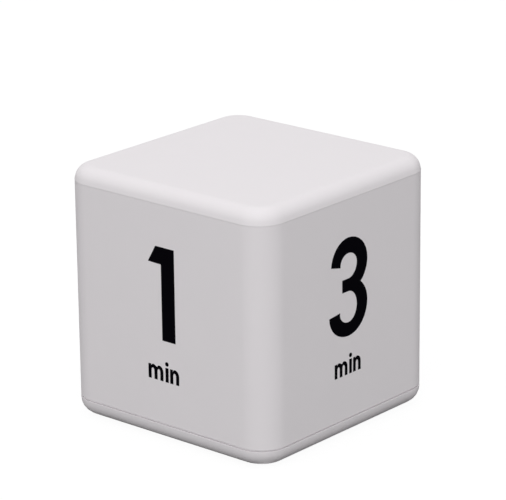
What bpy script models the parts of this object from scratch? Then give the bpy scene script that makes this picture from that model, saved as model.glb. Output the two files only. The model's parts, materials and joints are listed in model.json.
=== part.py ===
"""Cube timer: a white moulded cube that counts down the minutes on the figure turned up.

Metres, +Z up. The origin is the centre of the base. Figure 1 is on the -Y face, 3 on +X,
5 on +Y and 10 on -X. The top face is bare, and the display, the power knob and the battery
door are on the underside.
"""

import math

import bmesh
import bpy
from mathutils import Euler, Matrix, Vector

# Outer form, whose side follows from what the cube holds
CORNER_RADIUS = 0.0071
TOP_FILLET = 0.0036
BOTTOM_FILLET = 0.0038
SEAM_LAND = 0.0005
WALL = 0.002
COVER_FLOOR = 0.0026

# Gaps and cutting
TOUCH_GAP = 0.0003
RUNNING_GAP = 0.00025
OVERRUN = 0.001
WELD_DISTANCE = 0.000001

# Smoothness, in steps
CORNER_STEPS = 8
FILLET_STEPS = 6
ROUND_STEPS = 24
SMALL_ROUND_STEPS = 14
ARC_STEPS = 8

# Printed figures
FIGURE_HEIGHT = 0.0228
FIGURE_HALF_WIDTH = 0.007
FIGURE_STEM = 0.0039
FIGURE_BAR = 0.0034
FIGURE_MIDDLE_BAR = 0.0031
FIGURE_OVERSHOOT = 0.00025
FIGURE_INLAY = 0.0003
FIGURE_FIT = 0.00005
ONE_HALF_WIDTH = 0.00405
ONE_STEM = 0.0041
TEN_GAP = 0.0019
FIGURE_THREE_SHIFT = -0.0009
FIGURE_THREE_RISE = 0.0008
FIGURE_THREE_CROWN = 0.0038

# Seam lip and corner posts
LIP_THICKNESS = 0.001
LIP_RISE = 0.002
LIP_LENGTH = 0.028
LIP_SHORT_LENGTH = 0.013
LIP_FIT = 0.00015
POST_CORNER_ROOM = 0.001484
POST_RADIUS = 0.0025
POST_WEB = 0.0012
POST_WEB_START = 0.009

# Screws
COVER_SCREW_SHAFT_RADIUS = 0.001
COVER_SCREW_HEAD_RADIUS = 0.0018
COVER_SCREW_HEAD_HEIGHT = 0.0013
COVER_SCREW_LENGTH = 0.009
BOARD_SCREW_SHAFT_RADIUS = 0.0007
BOARD_SCREW_HEAD_RADIUS = 0.0016
BOARD_SCREW_HEAD_HEIGHT = 0.001
BOARD_SCREW_LENGTH = 0.0045
SCREW_FIT = 0.00025
CROSS_WIDTH = 0.0005
COUNTERBORE_DEPTH = 0.0026
BOSS_WALL = 0.001
BOSS_HEIGHT = 0.0049

# Circuit board and its posts
BOARD_THICKNESS = 0.001
BOARD_MARGIN = 0.0021
BOARD_END_ROOM = 0.005
BOARD_POST_ROOM = 0.0005
BOARD_CORNER_RADIUS = 0.001
BOARD_HOLE_INSET_X = 0.003
BOARD_HOLE_INSET_Y = 0.0019
BOARD_POST_RADIUS = 0.0019

# Display
GLASS_LENGTH = 0.03
GLASS_DEPTH = 0.014
GLASS_SHEET = 0.0012
GLASS_LEDGE = 0.0026
FRAME_WALL = 0.0012
FRAME_FIT = 0.0002
FRAME_EDGE_ROOM = 0.00045
LIGHT_END_MARGIN = 0.002
LIGHT_SIDE_MARGIN = 0.00255
ZEBRA_MARGIN = 0.001
ZEBRA_DEPTH = 0.0017
LENS_END_LAP = 0.0002
LENS_SIDE_LAP = 0.00045
LENS_THICKNESS = 0.0008
LENS_INSET = 0.0001
LENS_RADIUS = 0.0015
LENS_FIT = 0.0002
LENS_SEAT = 0.0015

# Power switch
SWITCH_TRAVEL = 0.003
SWITCH_ROOM = 0.0019
SWITCH_END_ROOM = 0.00075
SWITCH_CASE_WIDTH = 0.0036
SWITCH_CASE_HEIGHT = 0.0028
SWITCH_CASE_WALL = 0.0004
LEVER_WIDTH = 0.001
LEVER_LENGTH = 0.001
LEVER_REACH = 0.001
SLIDER_LENGTH = 0.0024
SLIDER_HEIGHT = 0.0012
KNOB_STEM_WIDTH = 0.0026
KNOB_STEM_LENGTH = 0.0046
KNOB_INSET = 0.0003
KNOB_FLANGE_WIDTH = 0.005
KNOB_FLANGE_ROOM = 0.00035
KNOB_FLANGE_THICKNESS = 0.0008
KNOB_FORK_RISE = 0.0009
KNOB_FORK_WALL = 0.0006
KNOB_RIB_PITCH = 0.0012
KNOB_RIB_WIDTH = 0.0005
KNOB_RIB_DEPTH = 0.0003
KNOB_WELL_MARGIN = 0.0014
KNOB_WELL_DEPTH = 0.001

# Sound holes
SOUND_HOLE_RADIUS = 0.0006
SOUND_RING_RADIUS = 0.0023
SOUND_RING_COUNT = 6

# Battery bay, door and cells
CELL_RADIUS = 0.00515
CELL_LENGTH = 0.0444
CELL_NUB_RADIUS = 0.0019
CELL_NUB_LENGTH = 0.001
CELL_EDGE = 0.0004
CELL_GAP = 0.0004
BAY_SIDE_FIT = 0.00025
BAY_WALL = 0.0016
BAY_END_WALL = 0.001
BAY_END_ROOM = 0.00265
BAY_POST_ROOM = 0.0004
BAY_ROOF = 0.001
SPRING_LENGTH = 0.004
SPRING_WIRE_RADIUS = 0.0003
SPRING_WIDE_RADIUS = 0.0027
SPRING_NARROW_RADIUS = 0.0017
SPRING_TURNS = 3
SPRING_STEPS = 10
CONTACT_THICKNESS = 0.0004
CONTACT_WIDTH = 0.0084
CONTACT_HEIGHT = 0.0076
TAIL_WIDTH = 0.0024
TAIL_RISE = 0.0016
TAIL_FIT = 0.0003
DOOR_THICKNESS = 0.0019
DOOR_TONGUE = 0.001
DOOR_TONGUE_THICKNESS = 0.0007
DOOR_END_LAP = 0.0006
DOOR_CAP_LENGTH = 0.0036
GRIP_COUNT = 5
GRIP_PITCH = 0.0016
GRIP_WIDTH = 0.0008
GRIP_LENGTH = 0.012
GRIP_DEPTH = 0.0004
GRIP_START = 0.0052

# Ball tilt switches
TILT_LENGTH = 0.0077
TILT_RADIUS = 0.002
TILT_WALL = 0.00035
TILT_PLUG = 0.0012
TILT_FLANGE = 0.0006
TILT_BALL_FIT = 0.00025
TILT_TURN = math.radians(45)
TILT_X = 0.0025
TILT_PAIR_GAP = 0.0003
UPRIGHT_TILT_ROOM = 0.0005

# Buzzer
BUZZER_ROOM = 0.00305
BUZZER_RADIUS = 0.0056
BUZZER_HEIGHT = 0.007
BUZZER_WALL = 0.0007
BUZZER_MOUTH_RADIUS = 0.001
BUZZER_BASE = 0.001
BUZZER_SHOULDER = 0.0018
MAGNET_WALL = 0.0011
MAGNET_HEIGHT = 0.0022
COIL_ROOM = 0.00085
DIAPHRAGM_THICKNESS = 0.0002
DIAPHRAGM_WEIGHT_RADIUS = 0.0016
DIAPHRAGM_WEIGHT_HEIGHT = 0.0005

# Other parts on the board
BLOB_RADIUS = 0.0038
BLOB_HEIGHT = 0.0014
BLOB_ROOM = 0.00185
BLOB_MARGIN = 0.0011
CRYSTAL_RADIUS = 0.001
CRYSTAL_LENGTH = 0.006
CRYSTAL_SHIFT = 0.001
CRYSTAL_ROOM = 0.0019
CAPACITOR_RADIUS = 0.002
CAPACITOR_HEIGHT = 0.005
CAPACITOR_MARGIN = 0.0013
CAPACITOR_OFFSET = 0.00125
TRANSISTOR_WIDTH = 0.003
TRANSISTOR_DEPTH = 0.0016
TRANSISTOR_HEIGHT = 0.0012
TRANSISTOR_ROOM = 0.0017
EDGE_ROUND = 0.0003

# Battery leads
LEAD_RADIUS = 0.0005
LEAD_STEPS = 5
PAD_PITCH = 0.0038
PAD_ROOM = 0.00145
PAD_MARGIN = 0.0018

# Display, switch and board, worked out from the glass and the parts beside it
FRAME_HALF_LENGTH = GLASS_LENGTH / 2 + FRAME_FIT + FRAME_WALL
FRAME_HALF_DEPTH = GLASS_DEPTH / 2 + FRAME_FIT + FRAME_WALL
LENS_LENGTH = GLASS_LENGTH - 2 * LENS_END_LAP
LENS_DEPTH = GLASS_DEPTH - 2 * LENS_SIDE_LAP
ZEBRA_LENGTH = GLASS_LENGTH - 2 * ZEBRA_MARGIN
TILT_REACH = ((TILT_LENGTH + TILT_FLANGE) / 2 + TILT_RADIUS) * math.cos(TILT_TURN)
TILT_SPREAD = TILT_REACH + TILT_PAIR_GAP / 2
SWITCH_X = FRAME_HALF_LENGTH + SWITCH_ROOM + SWITCH_CASE_WIDTH / 2
SOUND_X = -SWITCH_X
BOARD_LENGTH = 2 * (SWITCH_X + SWITCH_CASE_WIDTH / 2 + BOARD_MARGIN)
BOARD_DEPTH = 2 * max(
    FRAME_HALF_DEPTH + FRAME_EDGE_ROOM,
    TILT_REACH + TILT_SPREAD,
    BUZZER_RADIUS + PAD_ROOM + PAD_MARGIN,
)
BOARD_HOLE_X = BOARD_LENGTH / 2 - BOARD_HOLE_INSET_X
BOARD_HOLE_Y = BOARD_DEPTH / 2 - BOARD_HOLE_INSET_Y
POST_EDGE_Y = BOARD_HOLE_Y - BOARD_POST_RADIUS
SWITCH_CASE_LENGTH = 2 * (POST_EDGE_Y - SWITCH_END_ROOM)
SLIDER_WIDTH = SWITCH_CASE_WIDTH - 2 * (SWITCH_CASE_WALL + TOUCH_GAP)
KNOB_FLANGE_LENGTH = 2 * (POST_EDGE_Y - SWITCH_TRAVEL / 2 - KNOB_FLANGE_ROOM)
TILT_BALL_RADIUS = TILT_RADIUS - TILT_WALL - TILT_BALL_FIT
BALL_TRAVEL = TILT_LENGTH - TILT_WALL - TILT_PLUG - 2 * TILT_BALL_RADIUS - TOUCH_GAP

# Battery bay, worked out from its two cells, lying side by side
BAY_HALF_WIDTH = 2 * CELL_RADIUS + CELL_GAP / 2 + BAY_SIDE_FIT
BAY_OUTER_HALF_WIDTH = BAY_HALF_WIDTH + BAY_WALL
CELL_OFFSET = CELL_RADIUS + CELL_GAP / 2
CELL_Z = DOOR_THICKNESS + TOUCH_GAP + CELL_RADIUS
BAY_ROOF_HEIGHT = CELL_Z + CELL_RADIUS + TOUCH_GAP
BAY_TOP = BAY_ROOF_HEIGHT + BAY_ROOF
TAIL_TOP = BAY_TOP + TAIL_RISE
CONTACT_DEPTH = TOUCH_GAP + CONTACT_THICKNESS
SPRING_SPACE = SPRING_LENGTH + 2 * TOUCH_GAP
BAY_HALF_LENGTH = (CELL_LENGTH + TOUCH_GAP + SPRING_SPACE) / 2 + CONTACT_DEPTH

# Corner posts, set in from the corner so that their screw bosses clear the wall's round corner
BOSS_RADIUS = COVER_SCREW_HEAD_RADIUS + SCREW_FIT + BOSS_WALL
BOSS_SLACK = CORNER_RADIUS - WALL - BOSS_RADIUS - POST_CORNER_ROOM
POST_INSET = CORNER_RADIUS - BOSS_SLACK / math.sqrt(2)

# The cube is as large as the bay's length, the board's length or both side by side need
BAY_NEEDS = BAY_HALF_LENGTH + BAY_END_WALL + BAY_END_ROOM + WALL
BOARD_NEEDS = BOARD_LENGTH / 2 + BOARD_END_ROOM + WALL
HELD_DEPTH = (
    BOARD_POST_ROOM + BOARD_DEPTH + TOUCH_GAP + 2 * BAY_OUTER_HALF_WIDTH + BAY_POST_ROOM
)
DEPTH_NEEDS = HELD_DEPTH / 2 + POST_RADIUS + POST_INSET
HALF = max(BAY_NEEDS, BOARD_NEEDS, DEPTH_NEEDS)
CUBE_SIDE = 2 * HALF
INNER_HALF = HALF - WALL
POST_PLACE = HALF - POST_INSET
CLEAR_HALF = POST_PLACE - POST_RADIUS
CORNERS = [(x, y) for x in (-POST_PLACE, POST_PLACE) for y in (-POST_PLACE, POST_PLACE)]

# Heights
SEAM_HEIGHT = BOTTOM_FILLET + SEAM_LAND
COVER_RIM = SEAM_HEIGHT - TOUCH_GAP / 2
HOUSING_RIM = SEAM_HEIGHT + TOUCH_GAP / 2
INSIDE_FLOOR = COVER_FLOOR + TOUCH_GAP
GLASS_TOP = INSIDE_FLOOR + 2 * GLASS_SHEET
FLANGE_TOP = INSIDE_FLOOR + KNOB_FLANGE_THICKNESS
CASE_BASE = FLANGE_TOP + KNOB_FORK_RISE + TOUCH_GAP
BOARD_HEIGHT = CASE_BASE + SWITCH_CASE_HEIGHT + TOUCH_GAP
BOARD_TOP = BOARD_HEIGHT + BOARD_THICKNESS
BOARD_SEAT = BOARD_TOP + TOUCH_GAP
DOOR_POCKET_TOP = DOOR_THICKNESS + TOUCH_GAP
FIGURE_BASELINE_SHARE = 0.4065
FIGURE_BASELINE = CUBE_SIDE * FIGURE_BASELINE_SHARE

# Places
BOARD_CENTRE_Y = BOARD_POST_ROOM + BOARD_DEPTH / 2 - CLEAR_HALF
BAY_CENTRE_Y = CLEAR_HALF - BAY_POST_ROOM - BAY_OUTER_HALF_WIDTH
BOARD_HOLES = [
    (x, BOARD_CENTRE_Y + y)
    for x in (-BOARD_HOLE_X, BOARD_HOLE_X)
    for y in (-BOARD_HOLE_Y, BOARD_HOLE_Y)
]
LEDGE_Y = BOARD_CENTRE_Y + (GLASS_DEPTH - GLASS_LEDGE) / 2
SWITCH_Y = BOARD_CENTRE_Y
KNOB_REST_Y = SWITCH_Y - SWITCH_TRAVEL / 2
FRONT_CELL_Y = BAY_CENTRE_Y - CELL_OFFSET
BACK_CELL_Y = BAY_CENTRE_Y + CELL_OFFSET
DOOR_HALF_WIDTH = BAY_HALF_WIDTH
DOOR_END = BAY_HALF_LENGTH + DOOR_END_LAP
DOOR_CAP_X = -HALF + DOOR_CAP_LENGTH
DOOR_CAP_HALF_WIDTH = DOOR_HALF_WIDTH + DOOR_TONGUE + 2 * RUNNING_GAP
BUZZER_X = TILT_X - TILT_REACH - BUZZER_ROOM - BUZZER_RADIUS
UPRIGHT_TILT_X = BUZZER_X - BUZZER_RADIUS - UPRIGHT_TILT_ROOM - TILT_RADIUS
BLOB_X = TILT_X + TILT_REACH + BLOB_ROOM + BLOB_RADIUS
BLOB_Y = BOARD_CENTRE_Y + BOARD_DEPTH / 2 - BLOB_MARGIN - BLOB_RADIUS
CRYSTAL_X = BLOB_X + CRYSTAL_SHIFT
CRYSTAL_Y = BLOB_Y - BLOB_RADIUS - CRYSTAL_ROOM - CRYSTAL_RADIUS
TRANSISTOR_X = CRYSTAL_X
TRANSISTOR_Y = CRYSTAL_Y - CRYSTAL_RADIUS - TRANSISTOR_ROOM - TRANSISTOR_DEPTH / 2
CAPACITOR_X = BOARD_LENGTH / 2 - CAPACITOR_MARGIN - CAPACITOR_RADIUS
CAPACITOR_Y = BOARD_CENTRE_Y + CAPACITOR_OFFSET
RED_PAD_X = BUZZER_X - PAD_PITCH / 2
BLACK_PAD_X = RED_PAD_X - PAD_PITCH
PAD_Y = BOARD_CENTRE_Y + BUZZER_RADIUS + PAD_ROOM

# Figure outlines, as shares of the figure height or half width
FLAG_TIP_SHARE = 0.82
FLAG_ROOT_SHARE = 0.815
FLAG_SLANT_SHARE = 0.58
UPPER_BOWL_SHARE = 0.76
LOWER_BOWL_SHARE = 0.307
MIDDLE_SHARE = 0.54
WAIST_SHARE = 0.53
WAIST_WIDTH_SHARE = 0.645
TERMINAL_SHARE = 0.25
UPPER_INSET_SHARE = 0.9
UPPER_CUT_OUTER_DEGREES = 4.5
UPPER_CUT_INNER_DEGREES = 5.5
LOWER_CUT_DEGREES = 10
BAR_START_SHARE = 0.32
FIVE_BOWL_SHARE = 0.33
FIVE_SHOULDER_SHARE = 0.655
FIVE_STEM_FOOT_SHARE = 0.47
FIVE_TOP_WIDTH_SHARE = 0.85
FIVE_STEM_WIDTH_SHARE = 0.92
OVAL_END_SHARE = 0.38
MITRE_SHARE = 0.5

# Screw heads and the finger well, as shares of their sizes
HEAD_CROWN_SHARE = 0.8
HEAD_EDGE_SHARE = 0.33
CROSS_SPAN_SHARE = 0.6
CROSS_DEPTH_SHARE = 0.6
WELL_ROUND_SHARE = 0.9

# Colours, as red, green and blue in linear light
WHITE_PLASTIC = (0.78, 0.76, 0.77)
BLACK_INK = (0.004, 0.004, 0.006)
BLACK_PLASTIC = (0.02, 0.02, 0.022)
GREY_PLASTIC = (0.22, 0.22, 0.23)
CLEAR_PLASTIC = (0.85, 0.88, 0.88)
DISPLAY_GREEN = (0.33, 0.37, 0.31)
BOARD_GREEN = (0.02, 0.16, 0.07)
STEEL = (0.6, 0.6, 0.58)
GOLD_BRASS = (0.72, 0.52, 0.22)
COPPER = (0.7, 0.3, 0.15)
PINK_RUBBER = (0.6, 0.3, 0.32)
CELL_BLUE = (0.05, 0.12, 0.3)
LEAD_RED = (0.6, 0.02, 0.02)

FINISHES = {
    "white_plastic": (WHITE_PLASTIC, 0.42, 0.0),
    "black_ink": (BLACK_INK, 0.35, 0.0),
    "black_plastic": (BLACK_PLASTIC, 0.4, 0.0),
    "grey_plastic": (GREY_PLASTIC, 0.5, 0.0),
    "clear_plastic": (CLEAR_PLASTIC, 0.05, 0.0),
    "display_glass": (DISPLAY_GREEN, 0.12, 0.0),
    "circuit_board": (BOARD_GREEN, 0.45, 0.0),
    "steel": (STEEL, 0.3, 1.0),
    "brass": (GOLD_BRASS, 0.3, 1.0),
    "copper_wire": (COPPER, 0.35, 1.0),
    "rubber": (PINK_RUBBER, 0.8, 0.0),
    "cell_jacket": (CELL_BLUE, 0.3, 0.0),
    "red_lead": (LEAD_RED, 0.5, 0.0),
}

for leftover in list(bpy.data.objects):
    bpy.data.objects.remove(leftover)

PARTS = bpy.data.collections.new("cube_timer")
TOOLS = bpy.data.collections.new("cutters")
bpy.context.scene.collection.children.link(PARTS)
bpy.context.scene.collection.children.link(TOOLS)


# Helpers


def finish_of(node, finish):
    """Give a piece its own Principled material of the named finish."""
    colour, roughness, metallic = FINISHES[finish]
    coat = bpy.data.materials.new(node + "_" + finish)
    coat.use_nodes = True
    shader = coat.node_tree.nodes["Principled BSDF"]
    shader.inputs["Base Color"].default_value = (*colour, 1.0)
    shader.inputs["Roughness"].default_value = roughness
    shader.inputs["Metallic"].default_value = metallic
    return coat


def mesh_of(name, shape):
    """Turn a bmesh into mesh data, faces outward, and free the bmesh."""
    bmesh.ops.recalc_face_normals(shape, faces=shape.faces)
    mesh = bpy.data.meshes.new(name)
    shape.to_mesh(mesh)
    shape.free()
    return mesh


def piece(name, data, finish, place=(0, 0, 0), turn=(0, 0, 0)):
    """Put one named sub-part in the object's collection."""
    part = bpy.data.objects.new(name, data)
    part.location = place
    part.rotation_euler = Euler(turn)
    data.materials.append(finish_of(name, finish))
    PARTS.objects.link(part)
    return part


def tool(name, data, place=(0, 0, 0), turn=(0, 0, 0)):
    """Put a cutter or an added form in the cutters' collection."""
    guide = bpy.data.objects.new(name, data)
    guide.location = place
    guide.rotation_euler = Euler(turn)
    guide.hide_render = True
    guide.display_type = "WIRE"
    TOOLS.objects.link(guide)
    return guide


def boolean(part, guide, operation):
    """Cut a piece by a guide, or join the guide to it."""
    step = part.modifiers.new(guide.name, "BOOLEAN")
    step.operation = operation
    step.object = guide
    step.solver = "EXACT"


def cut(part, guide):
    boolean(part, guide, "DIFFERENCE")


def join(part, guide):
    boolean(part, guide, "UNION")


def add_box(shape, low, high):
    """Add a box between two corners to a bmesh, and return its corners."""
    size = Vector(high) - Vector(low)
    centre = (Vector(high) + Vector(low)) / 2
    place = Matrix.Translation(centre) @ Matrix.Diagonal((*size, 1.0))
    return bmesh.ops.create_cube(shape, size=1.0, matrix=place)["verts"]


def add_rod(shape, centre, radius, low, high, steps):
    """Add an upright rod between two heights to a bmesh."""
    place = Matrix.Translation((*centre, (low + high) / 2))
    bmesh.ops.create_cone(
        shape, cap_ends=True, segments=steps, radius1=radius, radius2=radius,
        depth=high - low, matrix=place,
    )


def upright_edges(corners):
    """Edges of a box that run along Z."""
    edges = {edge for corner in corners for edge in corner.link_edges}
    return [edge for edge in edges if abs(edge.verts[0].co.z - edge.verts[1].co.z) > WELD_DISTANCE]


def add_rounded_box(shape, low, high, radius, steps=CORNER_STEPS):
    """Add a box whose four upright edges are rounded."""
    edges = upright_edges(add_box(shape, low, high))
    bmesh.ops.bevel(
        shape, geom=edges, offset=radius, offset_type="OFFSET", segments=steps,
        profile=0.5, affect="EDGES",
    )


def rounded_prism(half, radius, low, high, rim_radius, rim_height):
    """A square prism with rounded upright edges and one rim rounded too."""
    shape = bmesh.new()
    add_rounded_box(shape, (-half, -half, low), (half, half, high), radius)
    rim = [
        edge for edge in shape.edges
        if all(abs(corner.co.z - rim_height) < WELD_DISTANCE for corner in edge.verts)
    ]
    bmesh.ops.bevel(
        shape, geom=rim, offset=rim_radius, offset_type="OFFSET", segments=FILLET_STEPS,
        profile=0.5, affect="EDGES",
    )
    return shape


def block(name, low, high, finish, radius=0.0):
    """A box as a piece, centred on its own origin, with rounded upright edges if asked."""
    centre = (Vector(low) + Vector(high)) / 2
    shape = bmesh.new()
    if radius > 0:
        add_rounded_box(shape, Vector(low) - centre, Vector(high) - centre, radius)
    else:
        add_box(shape, Vector(low) - centre, Vector(high) - centre)
    return piece(name, mesh_of(name, shape), finish, centre)


def box_tool(name, low, high, radius=0.0):
    """A box as a cutter or an added form."""
    shape = bmesh.new()
    if radius > 0:
        add_rounded_box(shape, low, high, radius)
    else:
        add_box(shape, low, high)
    return tool(name, mesh_of(name, shape))


def boxes_tool(name, corner_pairs):
    """Several separate boxes as one cutter or added form."""
    shape = bmesh.new()
    for low, high in corner_pairs:
        add_box(shape, low, high)
    return tool(name, mesh_of(name, shape))


def rods_tool(name, centres, radius, low, high, steps=SMALL_ROUND_STEPS):
    """Several separate upright rods as one cutter or added form."""
    shape = bmesh.new()
    for centre in centres:
        add_rod(shape, centre, radius, low, high, steps)
    return tool(name, mesh_of(name, shape))


def turned(name, profile, finish, place=(0, 0, 0), turn=(0, 0, 0), ring=False, steps=ROUND_STEPS):
    """A turned piece: a profile of (radius, height) that runs down its outer side."""
    mesh = bpy.data.meshes.new(name)
    corners = [(radius, 0, height) for radius, height in profile]
    count = len(corners)
    edges = [(index, index + 1) for index in range(count - 1)]
    if ring:
        edges.append((count - 1, 0))
    mesh.from_pydata(corners, edges, [])
    part = piece(name, mesh, finish, place, turn)
    screw = part.modifiers.new("turn", "SCREW")
    screw.angle = math.tau
    screw.steps = steps
    screw.render_steps = steps
    screw.use_merge_vertices = True
    screw.merge_threshold = WELD_DISTANCE
    return part


def soften(part, radius):
    """Round a piece's sharp edges a little."""
    bevel = part.modifiers.new("edge_round", "BEVEL")
    bevel.width = radius
    bevel.segments = 2
    bevel.limit_method = "ANGLE"


def tube(name, points, radius, finish, resolution):
    """A wire along computed points, with closed ends."""
    curve = bpy.data.curves.new(name, "CURVE")
    curve.dimensions = "3D"
    curve.bevel_depth = radius
    curve.bevel_resolution = resolution
    curve.use_fill_caps = True
    line = curve.splines.new("POLY")
    line.points.add(len(points) - 1)
    for point, place in zip(line.points, points):
        point.co = (*place, 1.0)
    return piece(name, curve, finish)


def flat_form(name, outlines, thickness):
    """Mesh data of flat outlines filled and given a thickness, centred on Z."""
    curve = bpy.data.curves.new(name + "_outline", "CURVE")
    curve.dimensions = "2D"
    curve.fill_mode = "BOTH"
    curve.extrude = thickness / 2
    for outline in outlines:
        line = curve.splines.new("POLY")
        line.points.add(len(outline) - 1)
        line.use_cyclic_u = True
        for point, place in zip(line.points, outline):
            point.co = (*place, 0.0, 1.0)
    drawing = bpy.data.objects.new(name + "_outline", curve)
    TOOLS.objects.link(drawing)
    mesh = bpy.data.meshes.new_from_object(
        drawing.evaluated_get(bpy.context.evaluated_depsgraph_get())
    )
    bpy.data.objects.remove(drawing)
    shape = bmesh.new()
    shape.from_mesh(mesh)
    bmesh.ops.remove_doubles(shape, verts=shape.verts, dist=WELD_DISTANCE)
    bpy.data.meshes.remove(mesh)
    return mesh_of(name, shape)


# Printed figures


def arc(centre, radii, start, end):
    """Points on an ellipse from one angle to another, in degrees."""
    angles = [math.radians(start + (end - start) * step / ARC_STEPS) for step in range(ARC_STEPS + 1)]
    return [
        (centre[0] + radii[0] * math.cos(angle), centre[1] + radii[1] * math.sin(angle))
        for angle in angles
    ]


def outline_one():
    """The figure 1: an upright stem with a slanted flag at its top left."""
    stem_left = ONE_HALF_WIDTH - ONE_STEM
    return [
        (-ONE_HALF_WIDTH, FLAG_TIP_SHARE * FIGURE_HEIGHT),
        (-ONE_HALF_WIDTH + FLAG_SLANT_SHARE * ONE_STEM, FIGURE_HEIGHT),
        (ONE_HALF_WIDTH, FIGURE_HEIGHT),
        (ONE_HALF_WIDTH, 0),
        (stem_left, 0),
        (stem_left, FLAG_ROOT_SHARE * FIGURE_HEIGHT),
    ]


def lower_hook(bowl):
    """The hook at the foot of 3 and 5: outer curve, cut end, inner curve up to the bowl's height."""
    half = FIGURE_HALF_WIDTH
    inner = half - FIGURE_STEM
    terminal = TERMINAL_SHARE * FIGURE_HEIGHT
    base = -FIGURE_OVERSHOOT
    counter = base + FIGURE_BAR
    return (
        arc((0, bowl), (half, bowl - base), 0, -90)
        + arc((0, terminal), (half, terminal - base), -90, -180)[1:]
        + arc((0, terminal), (inner, terminal - counter), 180 - LOWER_CUT_DEGREES, 270)
        + arc((0, bowl), (inner, bowl - counter), -90, 0)[1:]
    )


def outline_three():
    """The figure 3: two open bowls that meet at a waist, with a short middle bar."""
    half = FIGURE_HALF_WIDTH
    inner = half - FIGURE_STEM
    top = FIGURE_HEIGHT + FIGURE_OVERSHOOT + FIGURE_THREE_RISE
    counter_top = top - FIGURE_THREE_CROWN
    upper = UPPER_BOWL_SHARE * FIGURE_HEIGHT
    lower = LOWER_BOWL_SHARE * FIGURE_HEIGHT
    waist = WAIST_SHARE * FIGURE_HEIGHT
    bar_top = MIDDLE_SHARE * FIGURE_HEIGHT + FIGURE_MIDDLE_BAR / 2
    bar_base = bar_top - FIGURE_MIDDLE_BAR
    bar_start = -BAR_START_SHARE * half
    upper_left = UPPER_INSET_SHARE * half
    upper_left_inner = upper_left - FIGURE_BAR
    turn = math.degrees(math.acos(WAIST_WIDTH_SHARE))
    reach = math.sin(math.radians(turn))
    return (
        arc((0, upper), (upper_left, top - upper), 180 - UPPER_CUT_OUTER_DEGREES, 90)
        + arc((0, upper), (half, top - upper), 90, 0)[1:]
        + arc((0, upper), (half, (upper - waist) / reach), 0, -turn)[1:]
        + arc((0, lower), (half, (waist - lower) / reach), turn, 0)[1:]
        + lower_hook(lower)[1:]
        + arc((0, lower), (inner, bar_base - lower), 0, 90)[1:]
        + [(bar_start, bar_base), (bar_start, bar_top)]
        + arc((0, upper), (inner, upper - bar_top), -90, 0)
        + arc((0, upper), (inner, counter_top - upper), 0, 90)[1:]
        + arc((0, upper), (upper_left_inner, counter_top - upper), 90, 180 + UPPER_CUT_INNER_DEGREES)[1:]
    )


def outline_five():
    """The figure 5: a top bar, a short stem at the left and one open bowl."""
    half = FIGURE_HALF_WIDTH
    inner = half - FIGURE_STEM
    bowl = FIVE_BOWL_SHARE * FIGURE_HEIGHT
    shoulder = FIVE_SHOULDER_SHARE * FIGURE_HEIGHT
    foot = FIVE_STEM_FOOT_SHARE * FIGURE_HEIGHT
    counter_top = shoulder - FIGURE_BAR
    bar_end = FIVE_TOP_WIDTH_SHARE * half
    stem_left = -FIVE_STEM_WIDTH_SHARE * half
    stem_right = stem_left + FIGURE_STEM
    return (
        [
            (stem_left, foot),
            (stem_left, FIGURE_HEIGHT),
            (bar_end, FIGURE_HEIGHT),
            (bar_end, FIGURE_HEIGHT - FIGURE_BAR),
            (stem_right, FIGURE_HEIGHT - FIGURE_BAR),
            (stem_right, shoulder - FIGURE_BAR / 2),
        ]
        + arc((0, bowl), (half, shoulder - bowl), 90, 0)
        + lower_hook(bowl)[1:]
        + arc((0, bowl), (inner, counter_top - bowl), 0, 90)[1:]
        + [(stem_right, foot)]
    )


def oval_outline(half, base, top):
    """A closed outline with straight sides and oval ends."""
    end = OVAL_END_SHARE * (top - base)
    return (
        arc((0, top - end), (half, end), 180, 90)
        + arc((0, top - end), (half, end), 90, 0)[1:]
        + arc((0, base + end), (half, end), 0, -90)
        + arc((0, base + end), (half, end), -90, -180)[1:]
    )


def outlines_zero():
    """The figure 0: an outer and an inner oval."""
    base = -FIGURE_OVERSHOOT
    top = FIGURE_HEIGHT + FIGURE_OVERSHOOT
    inner = FIGURE_HALF_WIDTH - FIGURE_STEM
    return [
        oval_outline(FIGURE_HALF_WIDTH, base, top),
        oval_outline(inner, base + FIGURE_BAR, top - FIGURE_BAR),
    ]


def turned_left(outline):
    """True where an outline runs anticlockwise."""
    following = outline[1:] + outline[:1]
    area = sum(a[0] * b[1] - b[0] * a[1] for a, b in zip(outline, following))
    return area > 0


def grown(outline, distance):
    """An outline moved outward by a distance, each corner along its mitre."""
    side = 1 if turned_left(outline) else -1
    moved = []
    for index, point in enumerate(outline):
        here = Vector(point)
        arriving = (here - Vector(outline[index - 1])).normalized()
        leaving = (Vector(outline[(index + 1) % len(outline)]) - here).normalized()
        normal_in = Vector((arriving.y, -arriving.x)) * side
        normal_out = Vector((leaving.y, -leaving.x)) * side
        mitre = (normal_in + normal_out).normalized()
        moved.append(tuple(here + mitre * distance / max(mitre.dot(normal_in), MITRE_SHARE)))
    return moved


def figure(name, outlines, quarter_turn, offset, housing):
    """Inlay one figure flush in an upright face, in a pocket that it leaves a fine gap to."""
    turn = (math.pi / 2, 0, quarter_turn * math.pi / 2)
    spin = Matrix.Rotation(quarter_turn * math.pi / 2, 4, "Z")
    inlay_place = spin @ Vector((offset, -HALF + FIGURE_INLAY / 2, FIGURE_BASELINE))
    piece(name, flat_form(name, outlines, FIGURE_INLAY), "black_ink", inlay_place, turn)
    depth = FIGURE_INLAY + TOUCH_GAP
    pocket_outlines = [grown(outlines[0], FIGURE_FIT)]
    pocket_outlines += [grown(hole, -FIGURE_FIT) for hole in outlines[1:]]
    pocket_place = spin @ Vector((offset, -HALF + (depth - OVERRUN) / 2, FIGURE_BASELINE))
    pocket_name = name + "_pocket"
    pocket = flat_form(pocket_name, pocket_outlines, depth + OVERRUN)
    cut(housing, tool(pocket_name, pocket, pocket_place, turn))


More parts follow.
